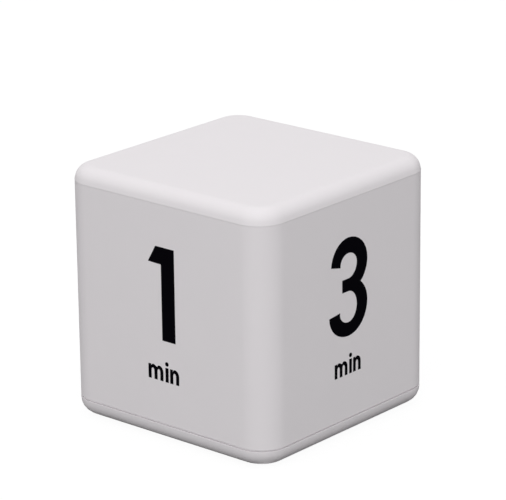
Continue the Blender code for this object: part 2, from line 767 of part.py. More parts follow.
def add_figures(housing):
    """Figures 1, 3, 5 and 10 on the four upright faces, in order round the cube."""
    figure("numeral_1", [outline_one()], 0, 0, housing)
    figure("numeral_3", [outline_three()], 1, FIGURE_THREE_SHIFT, housing)
    figure("numeral_5", [outline_five()], 2, 0, housing)
    ten_width = 2 * ONE_HALF_WIDTH + TEN_GAP + 2 * FIGURE_HALF_WIDTH
    one_offset = -ten_width / 2 + ONE_HALF_WIDTH
    zero_offset = ten_width / 2 - FIGURE_HALF_WIDTH
    figure("numeral_10_one", [outline_one()], 3, one_offset, housing)
    figure("numeral_10_zero", outlines_zero(), 3, zero_offset, housing)


# Screws


def screw(name, place, head_radius, head_height, shaft_radius, length, turn=(0, 0, 0)):
    """A cross-head screw, its head at the origin and its shaft along +Z."""
    profile = [
        (0, head_height + length),
        (shaft_radius, head_height + length - shaft_radius),
        (shaft_radius, head_height),
        (head_radius, head_height),
        (head_radius, head_height * HEAD_EDGE_SHARE),
        (head_radius * HEAD_CROWN_SHARE, 0),
        (0, 0),
    ]
    part = turned(name, profile, "steel", place, turn, steps=ROUND_STEPS)
    arm = head_radius * CROSS_SPAN_SHARE
    half = CROSS_WIDTH / 2
    depth = head_height * CROSS_DEPTH_SHARE
    shape = bmesh.new()
    add_box(shape, (-arm, -half, -OVERRUN), (arm, half, depth))
    long_slot = tool(name + "_slot_a", mesh_of(name + "_slot_a", shape), place, turn)
    shape = bmesh.new()
    add_box(shape, (-half, -arm, -OVERRUN), (half, arm, depth))
    cross_slot = tool(name + "_slot_b", mesh_of(name + "_slot_b", shape), place, turn)
    cut(part, long_slot)
    cut(part, cross_slot)


def add_cover_screws():
    head = COUNTERBORE_DEPTH - TOUCH_GAP - COVER_SCREW_HEAD_HEIGHT
    for index, (x, y) in enumerate(CORNERS):
        screw(
            f"cover_screw_{index + 1}", (x, y, head), COVER_SCREW_HEAD_RADIUS,
            COVER_SCREW_HEAD_HEIGHT, COVER_SCREW_SHAFT_RADIUS, COVER_SCREW_LENGTH,
        )


def add_board_screws():
    head = BOARD_TOP + TOUCH_GAP + BOARD_SCREW_HEAD_HEIGHT
    for index, (x, y) in enumerate(BOARD_HOLES):
        screw(
            f"board_screw_{index + 1}", (x, y, head), BOARD_SCREW_HEAD_RADIUS,
            BOARD_SCREW_HEAD_HEIGHT, BOARD_SCREW_SHAFT_RADIUS, BOARD_SCREW_LENGTH,
            turn=(math.pi, 0, 0),
        )


# Housing and cover


def build_housing():
    """The five-sided shell, with corner posts that the cover screws bite into."""
    outer = rounded_prism(HALF, CORNER_RADIUS, HOUSING_RIM, CUBE_SIDE, TOP_FILLET, CUBE_SIDE)
    housing = piece("housing", mesh_of("housing", outer), "white_plastic")
    roof = CUBE_SIDE - WALL
    inner = rounded_prism(
        INNER_HALF, CORNER_RADIUS - WALL, HOUSING_RIM - OVERRUN, roof, TOP_FILLET - WALL, roof
    )
    cut(housing, tool("housing_inside", mesh_of("housing_inside", inner)))
    post_base = BOSS_HEIGHT + TOUCH_GAP
    post_top = roof + WALL / 2
    join(housing, rods_tool("corner_posts", CORNERS, POST_RADIUS, post_base, post_top))
    half_web = POST_WEB / 2
    reach = INNER_HALF + WALL / 2
    webs_x = []
    webs_y = []
    for x, y in CORNERS:
        side_x = math.copysign(reach, x)
        side_y = math.copysign(reach, y)
        low_x, high_x = sorted((x, side_x))
        low_y, high_y = sorted((y, side_y))
        webs_x.append(((low_x, y - half_web, POST_WEB_START), (high_x, y + half_web, post_top)))
        webs_y.append(((x - half_web, low_y, POST_WEB_START), (x + half_web, high_y, post_top)))
    join(housing, boxes_tool("post_webs_x", webs_x))
    join(housing, boxes_tool("post_webs_y", webs_y))
    pilot_top = COUNTERBORE_DEPTH + COVER_SCREW_LENGTH + OVERRUN
    pilot_radius = COVER_SCREW_SHAFT_RADIUS + SCREW_FIT
    pilots = rods_tool("post_pilots", CORNERS, pilot_radius, post_base - OVERRUN, pilot_top)
    cut(housing, pilots)
    add_figures(housing)


def cover_blank():
    """The plain tray: rounded outside, hollow above its floor."""
    return rounded_prism(HALF, CORNER_RADIUS, 0, COVER_RIM, BOTTOM_FILLET, 0)


def tray_hollow(name):
    """The space above the tray's floor."""
    shape = bmesh.new()
    low = (-INNER_HALF, -INNER_HALF, COVER_FLOOR)
    high = (INNER_HALF, INNER_HALF, COVER_RIM + OVERRUN)
    add_rounded_box(shape, low, high, CORNER_RADIUS - WALL)
    return tool(name, mesh_of(name, shape))


def add_cover_features(cover):
    """Bosses, board posts, locating lips and the battery bay, joined to the tray."""
    root = COVER_FLOOR / 2
    join(cover, rods_tool("screw_bosses", CORNERS, BOSS_RADIUS, root, BOSS_HEIGHT))
    post_top = BOARD_HEIGHT - TOUCH_GAP
    join(cover, rods_tool("board_posts", BOARD_HOLES, BOARD_POST_RADIUS, root, post_top))
    outer = INNER_HALF - LIP_FIT
    inner = outer - LIP_THICKNESS
    top = COVER_RIM + LIP_RISE
    half = LIP_LENGTH / 2
    short_end = BAY_CENTRE_Y - DOOR_CAP_HALF_WIDTH - RUNNING_GAP - LIP_THICKNESS
    lips = [
        ((-half, -outer, root), (half, -inner, top)),
        ((-half, inner, root), (half, outer, top)),
        ((inner, -half, root), (outer, half, top)),
        ((-outer, short_end - LIP_SHORT_LENGTH, root), (-inner, short_end, top)),
    ]
    join(cover, boxes_tool("seam_lips", lips))
    end = BAY_HALF_LENGTH + BAY_END_WALL
    low = (-end, BAY_CENTRE_Y - BAY_OUTER_HALF_WIDTH, DOOR_POCKET_TOP)
    high = (end, BAY_CENTRE_Y + BAY_OUTER_HALF_WIDTH, BAY_TOP)
    join(cover, box_tool("battery_bay", low, high))


def cut_battery_bay(cover):
    """The bay's hollow, the door's pocket, its grooves and the notch for its end cap."""
    pocket_half = DOOR_HALF_WIDTH + RUNNING_GAP
    groove_half = DOOR_HALF_WIDTH + DOOR_TONGUE + RUNNING_GAP
    groove_base = DOOR_THICKNESS - DOOR_TONGUE_THICKNESS - TOUCH_GAP
    cap_half = DOOR_CAP_HALF_WIDTH + RUNNING_GAP
    outside = -HALF - OVERRUN
    pocket_end = DOOR_END + TOUCH_GAP
    cut(cover, box_tool(
        "bay_hollow",
        (-BAY_HALF_LENGTH, BAY_CENTRE_Y - BAY_HALF_WIDTH, 0),
        (BAY_HALF_LENGTH, BAY_CENTRE_Y + BAY_HALF_WIDTH, BAY_ROOF_HEIGHT),
    ))
    cut(cover, box_tool(
        "door_pocket",
        (outside, BAY_CENTRE_Y - pocket_half, -OVERRUN),
        (pocket_end, BAY_CENTRE_Y + pocket_half, DOOR_POCKET_TOP),
    ))
    cut(cover, box_tool(
        "door_grooves",
        (outside, BAY_CENTRE_Y - groove_half, groove_base),
        (pocket_end, BAY_CENTRE_Y + groove_half, DOOR_POCKET_TOP),
    ))
    cut(cover, box_tool(
        "door_cap_notch",
        (outside, BAY_CENTRE_Y - cap_half, -OVERRUN),
        (DOOR_CAP_X + TOUCH_GAP, BAY_CENTRE_Y + cap_half, COVER_RIM + OVERRUN),
    ))
    tail_half = TAIL_WIDTH / 2 + TAIL_FIT
    slot_near = -BAY_HALF_LENGTH
    slot_far = -BAY_HALF_LENGTH + CONTACT_DEPTH + TAIL_FIT
    slots = []
    for y in (FRONT_CELL_Y, BACK_CELL_Y):
        low = (slot_near, y - tail_half, BAY_ROOF_HEIGHT - OVERRUN)
        high = (slot_far, y + tail_half, BAY_TOP + OVERRUN)
        slots.append((low, high))
    cut(cover, boxes_tool("tail_slots", slots))


def cut_display_window(cover):
    """A shallow seat for the lens and a smaller window through the floor."""
    half_length = LENS_LENGTH / 2 + LENS_FIT
    half_depth = LENS_DEPTH / 2 + LENS_FIT
    seat = LENS_INSET + LENS_THICKNESS + TOUCH_GAP
    cut(cover, box_tool(
        "lens_seat",
        (-half_length, BOARD_CENTRE_Y - half_depth, -OVERRUN),
        (half_length, BOARD_CENTRE_Y + half_depth, seat),
        LENS_RADIUS + LENS_FIT,
    ))
    window_length = LENS_LENGTH / 2 - LENS_SEAT
    window_depth = LENS_DEPTH / 2 - LENS_SEAT
    cut(cover, box_tool(
        "display_window",
        (-window_length, BOARD_CENTRE_Y - window_depth, 0),
        (window_length, BOARD_CENTRE_Y + window_depth, COVER_FLOOR + OVERRUN),
        LENS_RADIUS / 2,
    ))


def cut_switch_slot(cover):
    """A round-ended finger well with the slot that the knob's stem slides in."""
    half_width = KNOB_STEM_WIDTH / 2 + RUNNING_GAP
    half_length = (KNOB_STEM_LENGTH + SWITCH_TRAVEL) / 2 + RUNNING_GAP
    well_width = half_width + KNOB_WELL_MARGIN
    well_length = half_length + KNOB_WELL_MARGIN
    cut(cover, box_tool(
        "finger_well",
        (SWITCH_X - well_width, SWITCH_Y - well_length, -OVERRUN),
        (SWITCH_X + well_width, SWITCH_Y + well_length, KNOB_WELL_DEPTH),
        well_width * WELL_ROUND_SHARE,
    ))
    cut(cover, box_tool(
        "knob_slot",
        (SWITCH_X - half_width, SWITCH_Y - half_length, 0),
        (SWITCH_X + half_width, SWITCH_Y + half_length, COVER_FLOOR + OVERRUN),
    ))


def cut_cover_holes(cover):
    """Screw holes with counterbores, board screw pilots and sound holes."""
    bore = COVER_SCREW_HEAD_RADIUS + SCREW_FIT
    cut(cover, rods_tool("counterbores", CORNERS, bore, -OVERRUN, COUNTERBORE_DEPTH, ROUND_STEPS))
    shaft = COVER_SCREW_SHAFT_RADIUS + SCREW_FIT
    cut(cover, rods_tool("cover_screw_holes", CORNERS, shaft, 0, BOSS_HEIGHT + OVERRUN))
    pilot = BOARD_SCREW_SHAFT_RADIUS + SCREW_FIT
    pilot_base = BOARD_TOP - BOARD_SCREW_LENGTH
    cut(cover, rods_tool("board_pilots", BOARD_HOLES, pilot, pilot_base, BOARD_HEIGHT))
    centres = [(SOUND_X, BOARD_CENTRE_Y)]
    for index in range(SOUND_RING_COUNT):
        angle = math.tau * index / SOUND_RING_COUNT
        x = SOUND_X + SOUND_RING_RADIUS * math.cos(angle)
        y = BOARD_CENTRE_Y + SOUND_RING_RADIUS * math.sin(angle)
        centres.append((x, y))
    cut(cover, rods_tool("sound_holes", centres, SOUND_HOLE_RADIUS, -OVERRUN, COVER_FLOOR + OVERRUN))


def build_cover():
    cover = piece("bottom_cover", mesh_of("bottom_cover", cover_blank()), "white_plastic")
    cut(cover, tray_hollow("cover_hollow"))
    add_cover_features(cover)
    cut_battery_bay(cover)
    cut_display_window(cover)
    cut_switch_slot(cover)
    cut_cover_holes(cover)


def build_door():
    """The sliding battery door: a plate with side tongues and an end cap shaped like the rim."""
    door = piece("battery_door", mesh_of("battery_door", cover_blank()), "white_plastic")
    cut(door, tray_hollow("door_hollow"))
    outside = -HALF - OVERRUN
    keep = boxes_tool("door_keep", [(
        (outside, BAY_CENTRE_Y - DOOR_HALF_WIDTH, -OVERRUN),
        (DOOR_END, BAY_CENTRE_Y + DOOR_HALF_WIDTH, DOOR_THICKNESS),
    )])
    cap = box_tool(
        "door_cap_keep",
        (outside, BAY_CENTRE_Y - DOOR_CAP_HALF_WIDTH, -OVERRUN),
        (DOOR_CAP_X, BAY_CENTRE_Y + DOOR_CAP_HALF_WIDTH, COVER_RIM + OVERRUN),
    )
    join(keep, cap)
    boolean(door, keep, "INTERSECT")
    tongue_half = DOOR_HALF_WIDTH + DOOR_TONGUE
    join(door, box_tool(
        "door_tongues",
        (DOOR_CAP_X - DOOR_TONGUE, BAY_CENTRE_Y - tongue_half, DOOR_THICKNESS - DOOR_TONGUE_THICKNESS),
        (DOOR_END - DOOR_TONGUE, BAY_CENTRE_Y + tongue_half, DOOR_THICKNESS),
    ))
    grips = []
    for index in range(GRIP_COUNT):
        x = -HALF + GRIP_START + GRIP_PITCH * index
        low = (x, BAY_CENTRE_Y - GRIP_LENGTH / 2, -OVERRUN)
        high = (x + GRIP_WIDTH, BAY_CENTRE_Y + GRIP_LENGTH / 2, GRIP_DEPTH)
        grips.append((low, high))
    cut(door, boxes_tool("door_grips", grips))


# Display and board


def build_display():
    """Lens, glass with its contact ledge, frame and rubber connector."""
    lens_half = LENS_LENGTH / 2
    lens_side = LENS_DEPTH / 2
    block(
        "lcd_lens",
        (-lens_half, BOARD_CENTRE_Y - lens_side, LENS_INSET),
        (lens_half, BOARD_CENTRE_Y + lens_side, LENS_INSET + LENS_THICKNESS),
        "clear_plastic", LENS_RADIUS,
    )
    half = GLASS_LENGTH / 2
    side = GLASS_DEPTH / 2
    sheet_top = INSIDE_FLOOR + GLASS_SHEET
    glass = block(
        "lcd_glass",
        (-half, BOARD_CENTRE_Y - side, INSIDE_FLOOR),
        (half, BOARD_CENTRE_Y + side, sheet_top),
        "display_glass",
    )
    join(glass, box_tool(
        "lcd_back_sheet",
        (-half, BOARD_CENTRE_Y - side, sheet_top - GLASS_SHEET / 2),
        (half, BOARD_CENTRE_Y + side - GLASS_LEDGE, GLASS_TOP),
    ))
    frame = block(
        "lcd_frame",
        (-FRAME_HALF_LENGTH, BOARD_CENTRE_Y - FRAME_HALF_DEPTH, INSIDE_FLOOR),
        (FRAME_HALF_LENGTH, BOARD_CENTRE_Y + FRAME_HALF_DEPTH, BOARD_HEIGHT - TOUCH_GAP),
        "black_plastic",
    )
    cut(frame, box_tool(
        "frame_glass_pocket",
        (-half - FRAME_FIT, BOARD_CENTRE_Y - side - FRAME_FIT, 0),
        (half + FRAME_FIT, BOARD_CENTRE_Y + side + FRAME_FIT, GLASS_TOP + TOUCH_GAP),
    ))
    slot_half = ZEBRA_LENGTH / 2 + TOUCH_GAP
    slot_side = ZEBRA_DEPTH / 2 + TOUCH_GAP
    light_half = half - LIGHT_END_MARGIN
    light_low = BOARD_CENTRE_Y - side + LIGHT_SIDE_MARGIN
    light_high = LEDGE_Y - slot_side - FRAME_WALL
    cut(frame, boxes_tool("frame_openings", [
        (
            (-slot_half, LEDGE_Y - slot_side, GLASS_TOP),
            (slot_half, LEDGE_Y + slot_side, BOARD_HEIGHT),
        ),
        ((-light_half, light_low, GLASS_TOP), (light_half, light_high, BOARD_HEIGHT)),
    ]))
    block(
        "zebra_strip",
        (-ZEBRA_LENGTH / 2, LEDGE_Y - ZEBRA_DEPTH / 2, sheet_top + TOUCH_GAP),
        (ZEBRA_LENGTH / 2, LEDGE_Y + ZEBRA_DEPTH / 2, BOARD_HEIGHT - TOUCH_GAP),
        "rubber",
    )


def build_board():
    """The circuit board with its four screw holes, and the small parts on it."""
    half = BOARD_LENGTH / 2
    side = BOARD_DEPTH / 2
    board = block(
        "main_board",
        (-half, BOARD_CENTRE_Y - side, BOARD_HEIGHT),
        (half, BOARD_CENTRE_Y + side, BOARD_TOP),
        "circuit_board", BOARD_CORNER_RADIUS,
    )
    hole = BOARD_SCREW_SHAFT_RADIUS + SCREW_FIT
    cut(board, rods_tool(
        "board_holes", BOARD_HOLES, hole, BOARD_HEIGHT - OVERRUN, BOARD_TOP + OVERRUN
    ))
    dome = arc((0, 0), (BLOB_RADIUS, BLOB_HEIGHT), 90, 0)
    turned("controller_blob", [*dome, (0, 0)], "black_plastic", (BLOB_X, BLOB_Y, BOARD_SEAT))
    can = [
        (0, CRYSTAL_LENGTH / 2),
        (CRYSTAL_RADIUS - EDGE_ROUND, CRYSTAL_LENGTH / 2),
        (CRYSTAL_RADIUS, CRYSTAL_LENGTH / 2 - EDGE_ROUND),
        (CRYSTAL_RADIUS, -CRYSTAL_LENGTH / 2),
        (0, -CRYSTAL_LENGTH / 2),
    ]
    turned(
        "crystal", can, "steel", (CRYSTAL_X, CRYSTAL_Y, BOARD_SEAT + CRYSTAL_RADIUS),
        (0, math.pi / 2, 0), steps=SMALL_ROUND_STEPS,
    )
    sleeve = [
        (0, CAPACITOR_HEIGHT),
        (CAPACITOR_RADIUS - EDGE_ROUND, CAPACITOR_HEIGHT),
        (CAPACITOR_RADIUS, CAPACITOR_HEIGHT - EDGE_ROUND),
        (CAPACITOR_RADIUS, 3 * EDGE_ROUND),
        (CAPACITOR_RADIUS - EDGE_ROUND, 2 * EDGE_ROUND),
        (CAPACITOR_RADIUS, EDGE_ROUND),
        (CAPACITOR_RADIUS, 0),
        (0, 0),
    ]
    turned("capacitor", sleeve, "black_plastic", (CAPACITOR_X, CAPACITOR_Y, BOARD_SEAT))
    transistor = block(
        "driver_transistor",
        (TRANSISTOR_X - TRANSISTOR_WIDTH / 2, TRANSISTOR_Y - TRANSISTOR_DEPTH / 2, BOARD_SEAT),
        (
            TRANSISTOR_X + TRANSISTOR_WIDTH / 2,
            TRANSISTOR_Y + TRANSISTOR_DEPTH / 2,
            BOARD_SEAT + TRANSISTOR_HEIGHT,
        ),
        "black_plastic",
    )
    soften(transistor, EDGE_ROUND)


# Power switch


def joint_empty(name, place):
    """An empty that carries the pieces of one moving body."""
    carrier = bpy.data.objects.new(name, None)
    carrier.location = place
    PARTS.objects.link(carrier)
    return carrier


def carry(part, carrier):
    """Parent a piece to an empty, and leave it where it is."""
    part.parent = carrier
    part.location = part.location - carrier.location


def build_power_switch():
    """Slide switch case under the board, its lever, and the knob that drives it."""
    half_width = SWITCH_CASE_WIDTH / 2
    half_length = SWITCH_CASE_LENGTH / 2
    case_top = CASE_BASE + SWITCH_CASE_HEIGHT
    case = block(
        "switch_case",
        (SWITCH_X - half_width, SWITCH_Y - half_length, CASE_BASE),
        (SWITCH_X + half_width, SWITCH_Y + half_length, case_top),
        "steel",
    )
    wall = SWITCH_CASE_WALL
    cut(case, box_tool(
        "switch_hollow",
        (SWITCH_X - half_width + wall, SWITCH_Y - half_length + wall, CASE_BASE + wall),
        (SWITCH_X + half_width - wall, SWITCH_Y + half_length - wall, case_top - wall),
    ))
    slot_half = (LEVER_LENGTH + SWITCH_TRAVEL) / 2 + TOUCH_GAP
    cut(case, box_tool(
        "lever_slot",
        (SWITCH_X - LEVER_WIDTH / 2 - RUNNING_GAP, SWITCH_Y - slot_half, CASE_BASE - OVERRUN),
        (SWITCH_X + LEVER_WIDTH / 2 + RUNNING_GAP, SWITCH_Y + slot_half, CASE_BASE + 2 * wall),
    ))
    slider = joint_empty("power_slider", (SWITCH_X, KNOB_REST_Y, 0))
    slider_base = CASE_BASE + wall + TOUCH_GAP
    lever = block(
        "switch_lever",
        (SWITCH_X - SLIDER_WIDTH / 2, KNOB_REST_Y - SLIDER_LENGTH / 2, slider_base),
        (SWITCH_X + SLIDER_WIDTH / 2, KNOB_REST_Y + SLIDER_LENGTH / 2, slider_base + SLIDER_HEIGHT),
        "black_plastic",
    )
    lever_tip = CASE_BASE - LEVER_REACH
    join(lever, box_tool(
        "lever_neck",
        (SWITCH_X - LEVER_WIDTH / 2, KNOB_REST_Y - LEVER_LENGTH / 2, lever_tip),
        (SWITCH_X + LEVER_WIDTH / 2, KNOB_REST_Y + LEVER_LENGTH / 2, slider_base + SLIDER_HEIGHT / 2),
    ))
    knob = build_knob(lever_tip)
    carry(lever, slider)
    carry(knob, slider)


def build_knob(lever_tip):
    """The knob: ribbed stem in the slot, flange above the floor and a fork round the lever."""
    knob = block(
        "power_knob",
        (SWITCH_X - KNOB_STEM_WIDTH / 2, KNOB_REST_Y - KNOB_STEM_LENGTH / 2, KNOB_INSET),
        (SWITCH_X + KNOB_STEM_WIDTH / 2, KNOB_REST_Y + KNOB_STEM_LENGTH / 2, FLANGE_TOP),
        "black_plastic",
    )
    join(knob, box_tool(
        "knob_flange",
        (SWITCH_X - KNOB_FLANGE_WIDTH / 2, KNOB_REST_Y - KNOB_FLANGE_LENGTH / 2, INSIDE_FLOOR),
        (SWITCH_X + KNOB_FLANGE_WIDTH / 2, KNOB_REST_Y + KNOB_FLANGE_LENGTH / 2, FLANGE_TOP),
    ))
    fork_gap = LEVER_LENGTH / 2 + RUNNING_GAP
    fork_top = CASE_BASE - TOUCH_GAP
    fork_half = KNOB_STEM_WIDTH / 2
    prongs = []
    for near, far in ((fork_gap, fork_gap + KNOB_FORK_WALL), (-fork_gap - KNOB_FORK_WALL, -fork_gap)):
        low = (SWITCH_X - fork_half, KNOB_REST_Y + near, FLANGE_TOP - KNOB_FLANGE_THICKNESS / 2)
        high = (SWITCH_X + fork_half, KNOB_REST_Y + far, fork_top)
        prongs.append((low, high))
    join(knob, boxes_tool("knob_fork", prongs))
    clear = LEVER_WIDTH / 2 + RUNNING_GAP
    cut(knob, box_tool(
        "knob_lever_clearance",
        (SWITCH_X - clear, KNOB_REST_Y - fork_gap, lever_tip - TOUCH_GAP),
        (SWITCH_X + clear, KNOB_REST_Y + fork_gap, fork_top + OVERRUN),
    ))
    ribs = []
    for index in (-1, 0, 1):
        y = KNOB_REST_Y + KNOB_RIB_PITCH * index
        low = (SWITCH_X - KNOB_STEM_WIDTH, y - KNOB_RIB_WIDTH / 2, KNOB_INSET - OVERRUN)
        high = (SWITCH_X + KNOB_STEM_WIDTH, y + KNOB_RIB_WIDTH / 2, KNOB_INSET + KNOB_RIB_DEPTH)
        ribs.append((low, high))
    cut(knob, boxes_tool("knob_ribs", ribs))
    return knob


# Tilt switches and buzzer


def tilt_switch(letter, place, turn):
    """One ball tilt switch along local +Z, from its base plug to the can's closed end."""
    inside = TILT_RADIUS - TILT_WALL
    plug_radius = inside - RUNNING_GAP / 2
    flange = TILT_FLANGE
    can_base = flange + TOUCH_GAP
    plug_top = flange + TILT_PLUG
    axis = Matrix.Translation(place) @ Euler(turn).to_matrix().to_4x4()
    turned(
        "tilt_can_" + letter,
        [
            (0, TILT_LENGTH + flange),
            (TILT_RADIUS, TILT_LENGTH + flange),
            (TILT_RADIUS, can_base),
            (inside, can_base),
            (inside, TILT_LENGTH + flange - TILT_WALL),
            (0, TILT_LENGTH + flange - TILT_WALL),
        ],
        "steel", place, turn, steps=SMALL_ROUND_STEPS,
    )
    turned(
        "tilt_base_" + letter,
        [
            (0, plug_top),
            (plug_radius, plug_top),
            (plug_radius, flange),
            (TILT_RADIUS, flange),
            (TILT_RADIUS, 0),
            (0, 0),
        ],
        "black_plastic", place, turn, steps=SMALL_ROUND_STEPS,
    )
    shape = bmesh.new()
    bmesh.ops.create_uvsphere(
        shape, u_segments=SMALL_ROUND_STEPS, v_segments=SMALL_ROUND_STEPS // 2, radius=TILT_BALL_RADIUS
    )
    name = "tilt_ball_" + letter
    centre = axis @ Vector((0, 0, plug_top + TOUCH_GAP / 2 + TILT_BALL_RADIUS))
    piece(name, mesh_of(name, shape), "brass", centre, turn)
    direction = axis.col[2][:3]
    print(name, "moves along", [round(value, 6) for value in direction], "by", round(BALL_TRAVEL, 6))


def build_tilt_switches():
    """Two tilt switches lie at 45 degrees to the faces, and the third stands upright."""
    lying = BOARD_SEAT + TILT_RADIUS
    half = (TILT_LENGTH + TILT_FLANGE) / 2
    for letter, side in (("a", 1), ("b", -1)):
        centre = Vector((TILT_X, BOARD_CENTRE_Y + side * TILT_SPREAD, lying))
        turn = (0, math.pi / 2, side * TILT_TURN)
        direction = Euler(turn).to_matrix() @ Vector((0, 0, 1))
        tilt_switch(letter, centre - direction * half, turn)
    tilt_switch("c", Vector((UPRIGHT_TILT_X, BOARD_CENTRE_Y, BOARD_SEAT)), (0, 0, 0))


def build_buzzer():
    """Magnetic buzzer: base, ring magnet, coil on its core, diaphragm and a cup over them."""
    place = (BUZZER_X, BOARD_CENTRE_Y, BOARD_SEAT)
    inside = BUZZER_RADIUS - BUZZER_WALL
    seat = inside - RUNNING_GAP
    magnet_bore = seat - MAGNET_WALL
    coil_radius = magnet_bore - COIL_ROOM
    base_top = BUZZER_BASE
    magnet_base = base_top + TOUCH_GAP
    magnet_top = magnet_base + MAGNET_HEIGHT
    coil_top = magnet_top - TOUCH_GAP
    membrane = magnet_top + TOUCH_GAP
    shoulder = BUZZER_HEIGHT - BUZZER_SHOULDER
    turned(
        "buzzer_case",
        [
            (BUZZER_MOUTH_RADIUS, BUZZER_HEIGHT),
            (BUZZER_RADIUS - EDGE_ROUND, BUZZER_HEIGHT),
            (BUZZER_RADIUS, BUZZER_HEIGHT - EDGE_ROUND),
            (BUZZER_RADIUS, 0),
            (inside, 0),
            (inside, shoulder),
            (inside - BUZZER_WALL, shoulder),
            (inside - BUZZER_WALL, BUZZER_HEIGHT - BUZZER_WALL),
            (BUZZER_MOUTH_RADIUS, BUZZER_HEIGHT - BUZZER_WALL),
        ],
        "black_plastic", place, ring=True,
    )
    turned(
        "buzzer_base", [(0, base_top), (seat, base_top), (seat, 0), (0, 0)],
        "grey_plastic", place,
    )
    turned(
        "buzzer_magnet",
        [
            (seat, magnet_top),
            (seat, magnet_base),
            (magnet_bore, magnet_base),
            (magnet_bore, magnet_top),
        ],
        "grey_plastic", place, ring=True,
    )
    turned(
        "buzzer_coil",
        [(0, coil_top), (coil_radius, coil_top), (coil_radius, magnet_base), (0, magnet_base)],
        "copper_wire", place,
    )
    disc_top = membrane + DIAPHRAGM_THICKNESS
    weight_top = disc_top + DIAPHRAGM_WEIGHT_HEIGHT
    turned(
        "buzzer_diaphragm",
        [
            (0, weight_top),
            (DIAPHRAGM_WEIGHT_RADIUS, weight_top),
            (DIAPHRAGM_WEIGHT_RADIUS, disc_top),
            (seat, disc_top),
            (seat, membrane),
            (0, membrane),
        ],
        "brass", place,
    )


# Cells, contacts and leads


def build_cell(name, y, direction):
    """A small round cell along X, its positive end towards the given direction."""
    body_top = CELL_LENGTH - CELL_NUB_LENGTH
    profile = [
        (0, CELL_LENGTH),
        (CELL_NUB_RADIUS, CELL_LENGTH),
        (CELL_NUB_RADIUS, body_top),
        (CELL_RADIUS - CELL_EDGE, body_top),
        (CELL_RADIUS, body_top - CELL_EDGE),
        (CELL_RADIUS, CELL_EDGE),
        (CELL_RADIUS - CELL_EDGE, 0),
        (0, 0),
    ]
    negative_end = -direction * (BAY_HALF_LENGTH - CONTACT_DEPTH - SPRING_SPACE)
    turned(name, profile, "cell_jacket", (negative_end, y, CELL_Z), (0, direction * math.pi / 2, 0))


def least_gap(points, radius, apart):
    """The least gap of a coiled wire to itself, between points more than some steps apart."""
    gaps = [
        (points[later] - points[first]).length - 2 * radius
        for first in range(len(points))
        for later in range(first + apart, len(points))
    ]
    return min(gaps)


def build_spring(name, y, direction):
    """A conical contact spring: its wide end at the plate, its narrow end at the cell."""
    plate_face = BAY_HALF_LENGTH - CONTACT_DEPTH - TOUCH_GAP
    steps = SPRING_TURNS * SPRING_STEPS
    run = SPRING_LENGTH - 2 * SPRING_WIRE_RADIUS
    points = []
    for step in range(steps + 1):
        share = step / steps
        radius = SPRING_WIDE_RADIUS + (SPRING_NARROW_RADIUS - SPRING_WIDE_RADIUS) * share
        angle = math.tau * SPRING_TURNS * share
        x = direction * (plate_face - SPRING_WIRE_RADIUS - run * share)
        points.append(Vector((x, y + radius * math.cos(angle), CELL_Z + radius * math.sin(angle))))
    tube(name, points, SPRING_WIRE_RADIUS, "steel", 1)
    gap = least_gap(points, SPRING_WIRE_RADIUS, SPRING_STEPS // 2)
    print(name, "least gap to itself in millimetres", round(gap * 1000, 3))


def build_contacts():
    """Bridge plate at the +X end, and two plates with solder tails at the -X end."""
    near = BAY_HALF_LENGTH - CONTACT_DEPTH
    far = BAY_HALF_LENGTH - TOUCH_GAP
    low_z = CELL_Z - CONTACT_HEIGHT / 2
    high_z = CELL_Z + CONTACT_HEIGHT / 2
    half = CONTACT_WIDTH / 2
    block(
        "bridge_plate", (near, FRONT_CELL_Y - half, low_z), (far, BACK_CELL_Y + half, high_z), "steel"
    )
    for name, y in (("negative_plate", FRONT_CELL_Y), ("positive_plate", BACK_CELL_Y)):
        plate = block(name, (-far, y - half, low_z), (-near, y + half, high_z), "steel")
        tail = TAIL_WIDTH / 2
        join(plate, box_tool(
            name + "_tail", (-far, y - tail, high_z - TAIL_WIDTH), (-near, y + tail, TAIL_TOP)
        ))
    build_spring("bridge_spring", BACK_CELL_Y, 1)
    build_spring("negative_spring", FRONT_CELL_Y, -1)


def smooth_route(route):
    """Points on a smooth curve through the route's own points."""
    ends = [route[0] * 2 - route[1], *route, route[-1] * 2 - route[-2]]
    points = []
    for before, start, end, after in zip(ends, ends[1:], ends[2:], ends[3:]):
        for step in range(LEAD_STEPS):
            t = step / LEAD_STEPS
            points.append(
                (
                    start * 2
                    + (end - before) * t
                    + (before * 2 - start * 5 + end * 4 - after) * t ** 2
                    + (start * 3 - before - end * 3 + after) * t ** 3
                ) / 2
            )
    points.append(route[-1])
    return points


def build_lead(name, tail_y, pad_x, finish):
    """An insulated lead from a contact's tail over the bay's roof to its pad on the board."""
    start_x = -BAY_HALF_LENGTH + CONTACT_DEPTH + TOUCH_GAP
    tail_z = TAIL_TOP - LEAD_RADIUS
    roof_z = BAY_TOP + 3 * LEAD_RADIUS
    bay_edge = BAY_CENTRE_Y - BAY_OUTER_HALF_WIDTH
    middle_x = (start_x + pad_x) / 2
    route = [
        Vector((start_x, tail_y, tail_z)),
        Vector((start_x + 4 * LEAD_RADIUS, tail_y, tail_z + LEAD_RADIUS)),
        Vector((middle_x, (tail_y + bay_edge) / 2, roof_z + LEAD_RADIUS)),
        Vector((pad_x, bay_edge + 2 * LEAD_RADIUS, roof_z)),
        Vector((pad_x, PAD_Y + LEAD_RADIUS, roof_z - 4 * LEAD_RADIUS)),
        Vector((pad_x, PAD_Y, BOARD_SEAT + 4 * LEAD_RADIUS)),
        Vector((pad_x, PAD_Y, BOARD_SEAT)),
    ]
    tube(name, smooth_route(route), LEAD_RADIUS, finish, 1)


